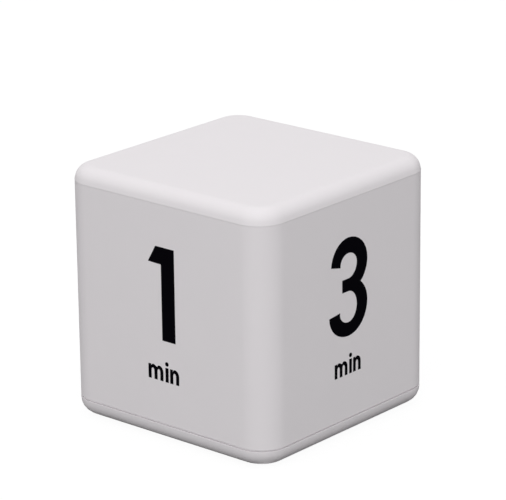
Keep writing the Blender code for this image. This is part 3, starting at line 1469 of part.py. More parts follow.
build_housing()
build_cover()
build_door()
add_cover_screws()
add_board_screws()
build_display()
build_board()
build_power_switch()
build_tilt_switches()
build_buzzer()
build_cell("cell_front", FRONT_CELL_Y, 1)
build_cell("cell_back", BACK_CELL_Y, -1)
build_contacts()
build_lead("red_lead", BACK_CELL_Y, RED_PAD_X, "red_lead")
build_lead("black_lead", FRONT_CELL_Y, BLACK_PAD_X, "black_plastic")
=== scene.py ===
"""The looks of the cube timer: a moulded white cube with black figures, a display, a switch and its cells.

Shapes are worked out in millimetres and put into their meshes in metres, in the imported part's own frame.
"""

import json
import math

import bmesh
import bpy
import numpy as np
from mathutils import Matrix, Vector

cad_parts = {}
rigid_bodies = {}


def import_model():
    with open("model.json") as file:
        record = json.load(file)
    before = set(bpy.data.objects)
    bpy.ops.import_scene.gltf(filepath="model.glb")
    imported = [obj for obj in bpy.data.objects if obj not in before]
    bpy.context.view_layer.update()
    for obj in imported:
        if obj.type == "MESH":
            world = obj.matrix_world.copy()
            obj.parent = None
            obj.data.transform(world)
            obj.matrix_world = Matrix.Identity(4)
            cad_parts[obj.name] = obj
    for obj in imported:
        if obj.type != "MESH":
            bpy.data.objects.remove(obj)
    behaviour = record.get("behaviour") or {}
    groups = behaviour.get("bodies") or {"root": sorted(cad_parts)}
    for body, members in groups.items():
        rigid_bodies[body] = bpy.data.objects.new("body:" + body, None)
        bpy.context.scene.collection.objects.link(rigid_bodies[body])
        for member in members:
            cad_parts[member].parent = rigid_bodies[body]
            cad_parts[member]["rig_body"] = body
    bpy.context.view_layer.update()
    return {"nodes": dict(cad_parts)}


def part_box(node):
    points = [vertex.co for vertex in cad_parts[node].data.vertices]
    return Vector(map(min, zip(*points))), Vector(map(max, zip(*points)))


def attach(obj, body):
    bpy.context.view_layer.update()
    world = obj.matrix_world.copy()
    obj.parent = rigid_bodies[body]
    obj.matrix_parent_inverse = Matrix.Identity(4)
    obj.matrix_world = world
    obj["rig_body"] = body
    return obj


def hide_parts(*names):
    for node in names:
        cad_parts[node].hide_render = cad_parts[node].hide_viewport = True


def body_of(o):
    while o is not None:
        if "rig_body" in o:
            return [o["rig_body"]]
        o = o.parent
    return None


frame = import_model()
nodes = frame["nodes"]

# A millimetre and the widest gap that is merged, in metres

MM = 0.001
MERGE = 0.000001

# Angles in degrees: faces within the first are one flat face, edges over the others are sharp or rounded

FLAT_ANGLE = 0.5
SHARP_ANGLE = 30
ROUNDED_ANGLE = 35.0

# Main sizes in millimetres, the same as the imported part's

HALF = 31.0
INNER = 29.0
HEIGHT = 62.0
ROOF = 60.0
CORNER = 7.1
TOP_ROUND = 3.6
RIM = 4.45
TONGUE_BASE = 4.2
POST = 24.3
POST_RADIUS = 2.5
PILOT_RADIUS = 1.25
POST_BASE = 5.2
PILOT_TOP = 12.6
WEB_START = 9.0
WEB = 1.2

# The dressed housing's own: its side's flat, the seam's depth, the crease's height and the lean above it

SKIN = 30.97
TONGUE_HALF = 30.61
CREASE = 58.35
LEAN = math.radians(12.0)

# Small sizes in millimetres: a turned form's first and last radius, how far posts and webs reach into a
# wall, how far the lowest points stand off the floor, half a printed mark's soft edge, and ink's thickness

POLE = 0.01
INTO_WALL = 0.4
REST_LIFT = 0.02
SOFT_EDGE = 0.03
WORD_FILM = 0.08
SWITCH_FILM = 0.04
DISPLAY_FILM = 0.015

# A banded wave texture's period at scale 1, in metres

WAVE_PERIOD = 0.314


# Meshes


def closed_mesh(name, points, faces):
    """A mesh from points in millimetres, its faces turned outward."""
    mesh = bpy.data.meshes.new(name)
    mesh.from_pydata((np.asarray(points, dtype=float) * MM).tolist(), [], faces)
    shape = bmesh.new()
    shape.from_mesh(mesh)
    bmesh.ops.recalc_face_normals(shape, faces=shape.faces)
    shape.to_mesh(mesh)
    shape.free()
    return mesh


def linked(name, data):
    """A new object of a mesh, lamp or camera, in the scene."""
    made = bpy.data.objects.new(name, data)
    bpy.context.scene.collection.objects.link(made)
    return made


def piece(name, points, faces, finish, replaces=(), smooth=SHARP_ANGLE, paint=None):
    """Makes a closed piece of the casing from points in millimetres.

    It is smooth where its faces meet at less than an angle. paint gives each face the number of its finish.
    """
    made = linked(name, closed_mesh(name, points, faces))
    finished(made, finish, "casing", replaces, smooth)
    if paint is not None:
        made.data.polygons.foreach_set("material_index", np.asarray(paint, dtype=np.int32))


def finished(made, finish, body, replaces, smooth):
    """Gives an object its smooth shading, material and body, and hides the nodes it stands for."""
    mesh = made.data
    mesh.materials.clear()
    for material in finish if isinstance(finish, (list, tuple)) else [finish]:
        mesh.materials.append(material)
    mesh.shade_smooth()
    mesh.set_sharp_from_angle(angle=math.radians(smooth))
    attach(made, body)
    if replaces:
        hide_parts(*replaces)


def band(rows, columns):
    """Quads of a grid, closed round, whose point (row, column) has the number row * columns + column."""
    row = np.arange(rows - 1)[:, None]
    column = np.arange(columns)[None, :]
    following = (column + 1) % columns
    first = row * columns + column
    second = row * columns + following
    return np.stack([first, second, second + columns, first + columns], axis=-1).reshape(-1, 4)


def capped(rows, columns):
    """A closed skin: the grid's quads, with one face across its first ring and one across its last."""
    quads = band(rows, columns).tolist()
    first = list(range(columns))
    last = list(range((rows - 1) * columns, rows * columns))
    return quads + [first[::-1], last]


def ring_plate(outer, inner, thickness, front):
    """A flat ring between two outlines of as many points: four loops joined in a closed round."""
    rows = [(outer, front), (inner, front), (inner, front - thickness), (outer, front - thickness)]
    rows.append(rows[0])
    points = [np.c_[np.asarray(line, dtype=float), np.full(len(line), depth)] for line, depth in rows[:4]]
    quads = band(5, len(outer)) % (4 * len(outer))
    return np.concatenate(points), quads.tolist()


def swept(path, aside, radius, sides=12):
    """A round wire along a path: point = path + radius * (aside * cos t + (along x aside) * sin t)."""
    path = np.asarray(path, dtype=float)
    along = np.gradient(path, axis=0)
    along /= np.linalg.norm(along, axis=1, keepdims=True)
    aside = aside - along * np.sum(aside * along, axis=1, keepdims=True)
    aside /= np.linalg.norm(aside, axis=1, keepdims=True)
    across = np.cross(along, aside)
    turn = (np.arange(sides) * math.tau / sides)[None, :, None]
    ring = path[:, None] + radius * (aside[:, None] * np.cos(turn) + across[:, None] * np.sin(turn))
    return ring.reshape(-1, 3), capped(len(path), sides)


def seen_below(points):
    """Turns a flat form in (across, up, front) to lie on the underside, its top towards the figure 1."""
    points = np.asarray(points, dtype=float)
    return np.c_[points[:, 0], -points[:, 1], -points[:, 2]]


def gathered(parts):
    """Several (points, faces) pairs as one, each part's faces renumbered."""
    points = []
    faces = []
    count = 0
    for part_points, part_faces in parts:
        points.append(np.asarray(part_points, dtype=float))
        faces += [[index + count for index in face] for face in part_faces]
        count += len(part_points)
    return np.concatenate(points), faces


def rounded_rings(halves, heights, steps=20, support=0.25):
    """Rings round a square, one a row: each corner is a quarter circle of the row's own radius.

    A ring's corner centre stays where it is, HALF - CORNER from the middle, and its radius is what is left
    of the row's half width, so point = centre + radius * (cos t, sin t), t from 0 to 90 degrees in each
    quarter. A point just before and after each quarter keeps the flat sides flat.
    """
    turn = np.linspace(0.0, math.pi / 2, steps + 1)
    turn = np.concatenate([turn[:1], turn, turn[-1:]])
    slide = np.zeros(turn.size)
    slide[0] = -support
    slide[-1] = support
    quarter = np.arange(4)[:, None] * math.pi / 2
    angle = (quarter + turn[None, :]).ravel()
    slide = np.tile(slide, 4)
    middle = np.repeat(quarter.ravel() + math.pi / 4, turn.size)
    centre = HALF - CORNER
    reach = centre * math.sqrt(2)
    radius = np.asarray(halves, dtype=float)[:, None] - centre
    x = reach * np.cos(middle) + radius * np.cos(angle) - slide * np.sin(angle)
    y = reach * np.sin(middle) + radius * np.sin(angle) + slide * np.cos(angle)
    z = np.repeat(np.asarray(heights, dtype=float)[:, None], angle.size, axis=1)
    return np.stack([x, y, z], axis=-1).reshape(-1, 3), angle.size


def turned(profile, steps, axis, place, way=1.0):
    """A solid of revolution: (radius, height) pairs turned round an axis, its ends closed by one face each.

    Point = place + height * way * axis + radius * (cos t, sin t) across it.
    """
    profile = np.asarray(profile, dtype=float)
    angle = np.arange(steps) * math.tau / steps
    radius = profile[:, 0][:, None]
    across = radius * np.cos(angle)
    aside = radius * np.sin(angle)
    along = np.repeat(profile[:, 1][:, None] * way, steps, axis=1)
    order = {"X": (along, across, aside), "Z": (across, aside, along)}[axis]
    points = np.stack(order, axis=-1).reshape(-1, 3) + np.asarray(place, dtype=float)
    return points, capped(len(profile), steps)


def slab(low, high):
    """A plain rib between two corners, as a grid of two rings of four points."""
    (x0, y0, z0), (x1, y1, z1) = low, high
    ring = np.array([[x0, y0], [x1, y0], [x1, y1], [x0, y1]], dtype=float)
    points = np.concatenate([np.c_[ring, np.full(4, z0)], np.c_[ring, np.full(4, z1)]])
    return points, capped(2, 4)


def plate(outline, thickness, front):
    """A flat form of an outline in (across, up), its front at a depth and its back a thickness behind."""
    outline = np.asarray(outline, dtype=float)
    ends = [np.c_[outline, np.full(len(outline), depth)] for depth in (front - thickness, front)]
    return np.concatenate(ends), capped(2, len(outline))


def shoulder(half, height, steps, flat_steps=(0.2, 0.5)):
    """The top's round in (half, height) from where it leans in by LEAN up to the flat, then flat points.

    Point = centre + TOP_ROUND * (cos t, sin t), t from LEAN to 90 degrees.
    """
    turn = np.linspace(LEAN, math.pi / 2, steps + 1)
    middle = half - TOP_ROUND * math.cos(LEAN)
    rise = height - TOP_ROUND * math.sin(LEAN)
    arc = np.c_[middle + TOP_ROUND * np.cos(turn), rise + TOP_ROUND * np.sin(turn)].tolist()
    return arc + [(middle - step, HEIGHT) for step in flat_steps]


def dressed(name, finish, edge, lift=0.0, carve=None):
    """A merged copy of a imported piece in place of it, its flat faces whole again and its edges rounded.

    edge is the rounding, lift raises the lowest points off the floor, both in millimetres, and carve is a
    form that is cut out and leaves its own finish on the cut.
    """
    mesh = nodes[name].data.copy()
    mesh.name = name + "_form"
    shape = bmesh.new()
    shape.from_mesh(mesh)
    bmesh.ops.remove_doubles(shape, verts=shape.verts, dist=MERGE)
    bmesh.ops.dissolve_limit(
        shape, angle_limit=math.radians(FLAT_ANGLE), verts=shape.verts, edges=shape.edges
    )
    if lift:
        low = min(point.co.z for point in shape.verts)
        for point in shape.verts:
            if point.co.z - low < MERGE:
                point.co.z = low + lift * MM
    shape.to_mesh(mesh)
    shape.free()
    if "custom_normal" in mesh.attributes:
        mesh.attributes.remove(mesh.attributes["custom_normal"])
    made = linked(name + "_form", mesh)
    finished(made, finish, body_of(nodes[name])[0], (name,), SHARP_ANGLE)
    if carve:
        carved = made.modifiers.new("marks", "BOOLEAN")
        carved.operation = "DIFFERENCE"
        carved.material_mode = "TRANSFER"
        carved.solver = "EXACT"
        carved.object = carve
        graph = bpy.context.evaluated_depsgraph_get()
        made.data = bpy.data.meshes.new_from_object(made.evaluated_get(graph))
        made.modifiers.remove(carved)
        bpy.data.objects.remove(carve)
        made.data.shade_smooth()
        made.data.set_sharp_from_angle(angle=math.radians(SHARP_ANGLE))
    if edge:
        rounded = made.modifiers.new("edges", "BEVEL")
        rounded.width = edge * MM
        rounded.segments = 2
        rounded.limit_method = "ANGLE"
        rounded.angle_limit = math.radians(ROUNDED_ANGLE)
        rounded.use_clamp_overlap = True
        rounded.harden_normals = True


# Shader expressions


class Value:
    """A socket's value in a Python expression: each operator adds one Math node."""

    def __init__(self, finish, socket):
        self.finish = finish
        self.socket = socket

    def math(self, operation, first, second=0.0, clamp=False):
        """One Math node's result, kept from 0 to 1 where it is clamped."""
        settings = {"operation": operation, "use_clamp": clamp}
        return self.finish.node("Math", settings, {0: first, 1: second})

    def __add__(self, other):
        return self.math("ADD", self, other)

    def __radd__(self, other):
        return self.math("ADD", other, self)

    def __sub__(self, other):
        return self.math("SUBTRACT", self, other)

    def __rsub__(self, other):
        return self.math("SUBTRACT", other, self)

    def __mul__(self, other):
        return self.math("MULTIPLY", self, other)

    def __rmul__(self, other):
        return self.math("MULTIPLY", other, self)

    def __pow__(self, other):
        return self.math("POWER", self, other)

    def above(self, other):
        """The larger of two values."""
        return self.math("MAXIMUM", self, other)

    def clamped(self):
        """The value kept from 0 to 1."""
        return self.math("ADD", self, 0.0, clamp=True)


class Finish:
    """One material's node tree, with a single method that adds a node."""

    def __init__(self, name, tree=None):
        if tree is None:
            self.material = bpy.data.materials.new(name)
            self.material.use_nodes = True
            tree = self.material.node_tree
        self.tree = tree
        self.tree.nodes.clear()

    def node(self, kind, settings=None, inputs=None, output=0):
        """Adds a shader node: its settings first, then its inputs by name or number, as values or links."""
        made = self.tree.nodes.new("ShaderNode" + kind)
        for word, setting in (settings or {}).items():
            if word == "stops":
                ramp = made.color_ramp.elements
                while len(ramp) < len(setting):
                    ramp.new(1.0)
                for element, (position, colour) in zip(ramp, setting):
                    element.position = position
                    element.color = colour
            else:
                setattr(made, word, setting)
        for socket, value in (inputs or {}).items():
            if isinstance(value, Value):
                self.tree.links.new(value.socket, made.inputs[socket])
            else:
                made.inputs[socket].default_value = value
        return Value(self, made.outputs[output]) if made.outputs else None

    def place(self):
        """The point on the piece, in metres."""
        return self.node("TexCoord", output="Object")

    def along(self, axis):
        """One coordinate of the point on the piece, in millimetres."""
        return self.node("SeparateXYZ", None, {0: self.place()}, axis) * (1.0 / MM)

    def noise(self, size, detail=3.0, roughness=0.55, stretch=(1.0, 1.0, 1.0)):
        """Noise from 0 to 1 with patches about so many millimetres wide."""
        where = self.place()
        if stretch != (1.0, 1.0, 1.0):
            where = self.node("Mapping", None, {"Vector": where, "Scale": stretch})
        settings = {"noise_dimensions": "3D"}
        inputs = {"Vector": where, "Scale": 1.0 / (size * MM), "Detail": detail, "Roughness": roughness}
        return self.node("TexNoise", settings, inputs, "Fac")

    def blend(self, share, first, second):
        """Two colours mixed by a share."""
        return self.node("Mix", {"data_type": "RGBA"}, {0: share, 6: first, 7: second}, 2)

    def step(self, value, low, high):
        """Rises evenly from 0 to 1 as the value goes from low to high."""
        return ((value - low) * (1.0 / (high - low))).clamped()

    def distance(self, value, mark):
        """How far a value is from a mark, either way."""
        gap = value - mark
        return gap.math("ABSOLUTE", gap)

    def within(self, value, reach):
        """1 where a value is less than a reach, with a soft edge."""
        return 1.0 - self.step(value, reach - SOFT_EDGE, reach + SOFT_EDGE)

    def bump(self, height, distance, strength):
        """A surface normal from a height, which a distance in millimetres scales."""
        inputs = {"Height": height, "Distance": distance * MM, "Strength": strength}
        return self.node("Bump", None, inputs)

    def surface(self, **sockets):
        """The finished surface: one Principled shader whose sockets are given by name."""
        inputs = {word.replace("_", " "): value for word, value in sockets.items()}
        shader = self.node("BsdfPrincipled", None, inputs)
        return self.shown(shader)

    def shown(self, shader):
        """Puts a shader on the material's output."""
        self.node("OutputMaterial", None, {0: shader})
        return self.material


def tone(red, green, blue):
    """An opaque colour."""
    return (red, green, blue, 1.0)


# Finishes


def white_moulding():
    """White plastic with the fine spark-eroded grain of its mould, faintly varied in roughness and tone."""
    finish = Finish("white_moulding")
    grain = finish.noise(0.16, 2.0, 0.6)
    cloud = finish.noise(9.0, 3.0)
    tint = finish.blend(cloud, tone(0.796, 0.765, 0.786), tone(0.816, 0.784, 0.804))
    colour = finish.blend(grain * 0.35, tint, tone(0.773, 0.743, 0.763))
    return finish.surface(
        Base_Color=colour,
        Roughness=0.58 + (cloud - 0.5) * 0.10 + (grain - 0.5) * 0.08,
        Normal=finish.bump(grain, 0.010, 0.35),
        Specular_IOR_Level=0.30,
    )


def black_print():
    """Pad-printed black ink: nearly no gloss, with the slight unevenness of a printed film."""
    finish = Finish("black_print")
    film = finish.noise(0.5, 3.0)
    colour = finish.blend(film, tone(0.0012, 0.0010, 0.0022), tone(0.0026, 0.0022, 0.0038))
    return finish.surface(
        Base_Color=colour,
        Roughness=0.68 + film * 0.12,
        Normal=finish.bump(film, 0.004, 0.3),
        Specular_IOR_Level=0.015,
    )


def moulded(name, light, dark, grain_size, roughness, depth=0.012):
    """A moulded plastic: two near tones in its grain, a little variation in roughness and a fine bump.

    The grain's size and depth are in millimetres.
    """
    finish = Finish(name)
    grain = finish.noise(grain_size, 3.0, 0.6)
    cloud = finish.noise(grain_size * 25.0, 2.0)
    colour = finish.blend((grain * 0.6 + cloud * 0.4).clamped(), tone(*light), tone(*dark))
    return finish.surface(
        Base_Color=colour,
        Roughness=(roughness + (cloud - 0.5) * 0.16 + (grain - 0.5) * 0.08).clamped(),
        Normal=finish.bump(grain, depth, 0.5),
    )


def metal(name, light, dark, roughness, stretch=(1.0, 1.0, 1.0), grain_size=0.15):
    """A plated or rolled metal: fine grain that can be stretched, faint tarnish in larger clouds."""
    finish = Finish(name)
    grain = finish.noise(grain_size, 4.0, 0.6, stretch)
    tarnish = finish.noise(2.2, 3.0)
    colour = finish.blend((tarnish * 0.7 + grain * 0.3).clamped(), tone(*light), tone(*dark))
    return finish.surface(
        Base_Color=colour,
        Metallic=1.0,
        Roughness=(roughness + (tarnish - 0.5) * 0.18 + (grain - 0.5) * 0.12).clamped(),
        Normal=finish.bump(grain, 0.004, 0.4),
    )


def clear_window():
    """A clear moulded window: what is behind it shows, under a sharp gloss that grows at a slant."""
    finish = Finish("clear_window")
    clear = finish.node("BsdfTransparent", None, {"Color": tone(0.96, 0.97, 0.97)})
    ripple = finish.noise(6.0, 2.0)
    sheen = finish.node(
        "BsdfPrincipled",
        None,
        {
            "Base Color": tone(0.10, 0.11, 0.11),
            "Roughness": 0.06,
            "Normal": finish.bump(ripple, 0.004, 0.2),
        },
    )
    slant = finish.node("LayerWeight", None, {"Blend": 0.5}, "Facing")
    both = finish.node("MixShader", None, {0: (slant ** 5.0) * 0.9 + 0.035, 1: clear, 2: sheen})
    return finish.shown(both)


def display_finish():
    """The display's glass: grey-green polariser in front, mirrored back, darker cut edges."""
    finish = Finish("display_glass_finish")
    mottle = finish.noise(0.12, 2.0)
    cloud = finish.noise(5.0, 2.0)
    front, back = 2.95, 3.5
    depth = finish.step(finish.along(2), front, back)
    face = finish.blend(mottle * 0.4 + cloud * 0.3, tone(0.330, 0.365, 0.300), tone(0.285, 0.320, 0.262))
    colour = finish.blend(depth, face, tone(0.180, 0.215, 0.190))
    return finish.surface(
        Base_Color=colour, Roughness=0.16 + mottle * 0.08, Coat_Weight=0.5, Coat_Roughness=0.08
    )


def board_finish():
    """A green solder-masked board: raised copper runs under the mask, and bare pads in rows."""
    finish = Finish("board_finish")
    run_length, pad_pitch = 1.6 * MM, 2.54 * MM
    runs = finish.node(
        "TexBrick",
        {"offset": 0.5, "squash": 1.4, "squash_frequency": 3},
        {
            "Vector": finish.place(),
            "Color1": tone(1.0, 1.0, 1.0),
            "Color2": tone(0.0, 0.0, 0.0),
            "Mortar": tone(0.5, 0.5, 0.5),
            "Scale": 1.0 / run_length,
            "Mortar Size": 0.10,
            "Brick Width": 2.6,
            "Row Height": 0.62,
        },
        "Fac",
    )
    pads = finish.node(
        "TexVoronoi",
        {"feature": "F1", "distance": "CHEBYCHEV"},
        {"Vector": finish.place(), "Scale": 1.0 / pad_pitch, "Randomness": 0.35},
        "Distance",
    )
    pad = finish.step(pads * -1.0, -0.14, -0.11)
    weave = finish.noise(0.25, 2.0)
    mask = finish.blend(runs, tone(0.018, 0.120, 0.050), tone(0.030, 0.185, 0.078))
    mask = finish.blend(weave * 0.3, mask, tone(0.012, 0.085, 0.036))
    colour = finish.blend(pad, mask, tone(0.62, 0.60, 0.55))
    return finish.surface(
        Base_Color=colour,
        Metallic=pad * 0.9,
        Roughness=0.34 - pad * 0.08 + weave * 0.08,
        Normal=finish.bump(runs * 0.6 + pad + weave * 0.15, 0.03, 0.6),
    )


def striped_rubber():
    """The display's connector: thin dark conducting layers between pale insulating ones."""
    finish = Finish("striped_rubber")
    pitch = 0.4 * MM
    wave = finish.node(
        "TexWave",
        {"wave_type": "BANDS", "bands_direction": "X", "wave_profile": "SIN"},
        {"Vector": finish.place(), "Scale": WAVE_PERIOD / pitch},
        "Fac",
    )
    stripe = finish.step(wave, 0.4, 0.6)
    skin = finish.noise(0.3, 2.0)
    colour = finish.blend(stripe, tone(0.42, 0.40, 0.38), tone(0.018, 0.018, 0.020))
    return finish.surface(
        Base_Color=finish.blend(skin * 0.2, colour, tone(0.1, 0.1, 0.1)),
        Roughness=0.72 + skin * 0.12,
        Normal=finish.bump(stripe + skin * 0.4, 0.01, 0.5),
    )


def cell_finish(name, base, positive, length, across):
    """A cell's printed jacket: blue, a silver shoulder at the positive end, and a + and - on two sides.

    The colour follows the distance from the base; the marks lie where the jacket faces down and up.
    """
    finish = Finish(name)
    along = (finish.along(0) - base) * positive
    aside = finish.distance(finish.along(1), across)
    shrink = finish.noise(1.2, 3.0)
    soft = 0.1
    shoulder_start = length * 0.74
    line_start, line_end = shoulder_start - 0.9, shoulder_start - 0.4
    silver = finish.step(along, shoulder_start, shoulder_start + soft)
    line = finish.step(along, line_start, line_start + soft) - finish.step(along, line_end, line_end + soft)
    from_plus = finish.distance(along, length * 0.87)
    from_minus = finish.distance(along, length * 0.07)
    half_stroke, plus_arm, minus_arm = 0.28, 1.3, 1.1
    bar = finish.within(from_plus, plus_arm) * finish.within(aside, half_stroke)
    stem = finish.within(from_plus, half_stroke) * finish.within(aside, plus_arm)
    minus = finish.within(from_minus, half_stroke) * finish.within(aside, minus_arm)
    blue = finish.blend(shrink, tone(0.028, 0.080, 0.240), tone(0.036, 0.098, 0.285))
    colour = finish.blend(silver, blue, tone(0.62, 0.62, 0.64))
    colour = finish.blend(line, colour, tone(0.72, 0.73, 0.75))
    colour = finish.blend((bar + stem).clamped(), colour, tone(0.020, 0.022, 0.030))
    colour = finish.blend(minus, colour, tone(0.72, 0.73, 0.75))
    return finish.surface(
        Base_Color=colour,
        Metallic=(silver * 0.5 + line * 0.3).clamped(),
        Roughness=0.30 + shrink * 0.10,
        Normal=finish.bump(shrink, 0.02, 0.25),
        Coat_Weight=0.25,
        Coat_Roughness=0.12,
    )


def wound_copper_painted_shade():
    """Enamelled copper wire wound in level turns: a fine bump ridges each turn, and the colour is painted
    lighter on the ridges and darker between them, painted highlight and painted shade.
    """
    finish = Finish("wound_copper_painted_shade")
    pitch = 0.22 * MM
    turns = finish.node(
        "TexWave",
        {"wave_type": "BANDS", "bands_direction": "Z", "wave_profile": "SIN"},
        {"Vector": finish.place(), "Scale": WAVE_PERIOD / pitch},
        "Fac",
    )
    tarnish = finish.noise(0.8, 3.0)
    # Painted highlight on each turn's ridge and painted shade between the turns: the colour follows the
    # same bands as the bump
    colour = finish.blend(turns, tone(0.38, 0.13, 0.05), tone(0.78, 0.32, 0.14))
    return finish.surface(
        Base_Color=finish.blend(tarnish * 0.4, colour, tone(0.45, 0.15, 0.07)),
        Metallic=0.9,
        Roughness=0.26 + tarnish * 0.12,
        Normal=finish.bump(turns, 0.05, 0.7),
    )


white = white_moulding()
ink = black_print()
# Grey for the floor of the door's carved arrow: painted shade in place of the recess's own shade, on a real
# coarse grain and roughness
mark = moulded("arrow_recess_painted_shade", (0.46, 0.44, 0.45), (0.34, 0.33, 0.34), 0.12, 0.75, 0.03)
black = moulded("black_moulding", (0.020, 0.020, 0.022), (0.012, 0.012, 0.014), 0.2, 0.38)
matt_black = moulded("epoxy_black", (0.026, 0.026, 0.028), (0.014, 0.014, 0.016), 0.12, 0.58, 0.02)
resin = moulded("resin_drop", (0.012, 0.012, 0.013), (0.008, 0.008, 0.009), 1.2, 0.16, 0.01)
grey = moulded("grey_moulding", (0.24, 0.24, 0.25), (0.18, 0.18, 0.19), 0.2, 0.45)
ferrite = moulded("ferrite", (0.075, 0.072, 0.070), (0.042, 0.040, 0.040), 0.25, 0.55, 0.03)
red_skin = moulded("red_insulation", (0.56, 0.030, 0.022), (0.44, 0.020, 0.016), 0.3, 0.40)
black_skin = moulded("black_insulation", (0.024, 0.024, 0.026), (0.014, 0.014, 0.016), 0.3, 0.40)
zinc = metal("zinc_plate", (0.62, 0.62, 0.64), (0.46, 0.46, 0.48), 0.30)
nickel = metal("nickel_plate", (0.72, 0.69, 0.64), (0.58, 0.55, 0.50), 0.20, (1.0, 6.0, 1.0))
tin = metal("tinned_case", (0.64, 0.63, 0.61), (0.52, 0.51, 0.50), 0.32, (1.0, 5.0, 1.0))
brass = metal("brass", (0.78, 0.57, 0.25), (0.62, 0.43, 0.17), 0.22)
window = clear_window()
display = display_finish()
board = board_finish()
rubber = striped_rubber()
copper = wound_copper_painted_shade()


# Housing


def housing_skin():
    """The shell as one closed skin: a profile of (half width, height) carried round the rounded square.

    It starts under the roof, comes down the inner wall, steps out round the tongue that closes the seam,
    turns round the rim's small edge, goes up the outer face to the crease, whose fine bead has a groove
    under it, and goes over the top's round.
    """
    inside = [(28.2, ROOF), (28.45, ROOF), (28.8, 59.9), (28.95, 59.65), (INNER, 59.3), (INNER, 59.0)]
    tongue = [(INNER, 4.6), (INNER, TONGUE_BASE), (29.2, TONGUE_BASE), (TONGUE_HALF, TONGUE_BASE)]
    lip = [(TONGUE_HALF, 4.3), (TONGUE_HALF, RIM), (30.70, RIM), (30.86, RIM + 0.01)]
    edge = [(30.94, RIM + 0.05), (30.98, RIM + 0.10), (30.995, RIM + 0.16), (30.985, RIM + 0.26)]
    edge += [(SKIN + 0.002, RIM + 0.44), (SKIN, RIM + 0.56)]
    face = [(SKIN, CREASE - 1.2), (SKIN - 0.005, CREASE - 0.8), (SKIN - 0.014, CREASE - 0.42)]
    face += [(SKIN - 0.016, CREASE - 0.34), (HALF - 0.012, CREASE - 0.08)]
    bead = [(HALF, CREASE - 0.01), (HALF - 0.004, CREASE + 0.05)]
    slope = [(HALF - 0.075, CREASE + 0.26), (HALF - 0.085, CREASE + 0.32)]
    over = shoulder(HALF - 0.187, HEIGHT - TOP_ROUND * (1.0 - math.sin(LEAN)), steps=18)
    profile = np.array(inside + tongue + lip + edge + face + bead + slope + over)
    points, columns = rounded_rings(profile[:, 0], profile[:, 1])
    return points, capped(len(profile), columns)


def corner_post(x, y):
    """A screw post: a turned tube with its pilot bore, and a web to each of the two near walls."""
    top = ROOF + INTO_WALL
    profile = [
        (POLE, PILOT_TOP), (PILOT_RADIUS, PILOT_TOP), (PILOT_RADIUS, POST_BASE + 0.3),
        (PILOT_RADIUS + 0.25, POST_BASE), (POST_RADIUS - 0.1, POST_BASE),
        (POST_RADIUS, POST_BASE + 0.1), (POST_RADIUS, top), (POLE, top),
    ]
    wall = INNER + INTO_WALL
    x_low, x_high = sorted((x, math.copysign(wall, x)))
    y_low, y_high = sorted((y, math.copysign(wall, y)))
    return [
        turned(profile, steps=32, axis="Z", place=(x, y, 0.0)),
        slab((x_low, y - WEB / 2, WEB_START), (x_high, y + WEB / 2, top)),
        slab((x - WEB / 2, y_low, WEB_START), (x + WEB / 2, y_high, top)),
    ]


shell_parts = [housing_skin()]
for x_side in (-1, 1):
    for y_side in (-1, 1):
        shell_parts += corner_post(POST * x_side, POST * y_side)
shell_points, shell_faces = gathered(shell_parts)
piece("housing_shell", shell_points, shell_faces, white, ("housing",), smooth=25)


# Words under the figures


def stem_outline(left, right, base, top):
    """An upright bar's four corners."""
    return [(left, base), (right, base), (right, top), (left, top)]


def curve(centre, radii, start, end, steps=12):
    """Points of an ellipse's arc: centre + radii * (cos t, sin t), t in degrees."""
    turn = np.radians(np.linspace(start, end, steps))
    return np.c_[centre[0] + radii[0] * np.cos(turn), centre[1] + radii[1] * np.sin(turn)].tolist()


def arched_letter(left, rights, height, stem):
    """An n or an m as one outline: a stem at the left, then one arch to each given right edge.

    An arch's outer line leaves the stem before it under its shoulder, runs over a crown and down a leg,
    and its inner line is a half ellipse: point = centre + radii * (cos t, sin t).
    """
    tall = height * 1.02
    thick = stem * 0.94
    spring = height * 0.60
    inner_spring = height * 0.56
    starts = [left] + [right - stem for right in rights[:-1]]
    points = [(left, 0.0), (left, height), (left + stem * 0.90, height)]
    for number, (begin, right) in enumerate(zip(starts, rights)):
        inner_left = begin + stem
        crown = (inner_left + right - stem) / 2 + stem * 0.08
        reach = crown - inner_left + stem * 0.30
        first = 142 if number == 0 else 138
        last = 0 if number == len(rights) - 1 else 48
        points += curve((crown, spring), (reach, tall - spring), first, 90, 6)
        points += curve((crown, spring), (right - crown, tall - spring), 90, last, 12)[1:]
    points.append((rights[-1], 0.0))
    for begin, right in reversed(list(zip(starts, rights))):
        inner_left = begin + stem
        inner_right = right - stem
        half = (inner_right - inner_left) / 2
        points.append((inner_right, 0.0))
        inner_rise = tall - thick - inner_spring
        points += curve((inner_left + half, inner_spring), (half, inner_rise), 0, 180, 14)
        points.append((inner_left, 0.0))
    return points


def word_min(stem=0.96, height=3.56):
    """The word min as outlines in (across, up), from 0 to 9.6 wide, its stems and dot of one weight."""
    i_left, n_left = 5.36, 6.80
    dot_place = (i_left + stem / 2, height + 0.94)
    return [
        arched_letter(0.0, (2.82, 4.68), height, stem),
        stem_outline(i_left, i_left + stem, 0.0, height),
        curve(dot_place, (stem * 0.58, stem * 0.56), 0, 337.5, 16),
        arched_letter(n_left, (9.60,), height, stem),
    ]


def printed_word(name, left, base, quarter):
    """The word as a thin film on one side of the cube, turned by quarters about the upright axis."""
    parts = []
    for outline in word_min():
        outline = np.asarray(outline) + (left, base)
        points, faces = plate(outline, WORD_FILM, HALF)
        parts.append((np.c_[points[:, 0], -points[:, 2], points[:, 1]], faces))
    points, faces = gathered(parts)
    angle = quarter * math.pi / 2
    cosine, sine = math.cos(angle), math.sin(angle)
    spin = np.array([[cosine, sine, 0], [-sine, cosine, 0], [0, 0, 1]])
    piece(name, points @ spin, faces, ink)


# Each word's left end and base line, and the quarter turn of its side

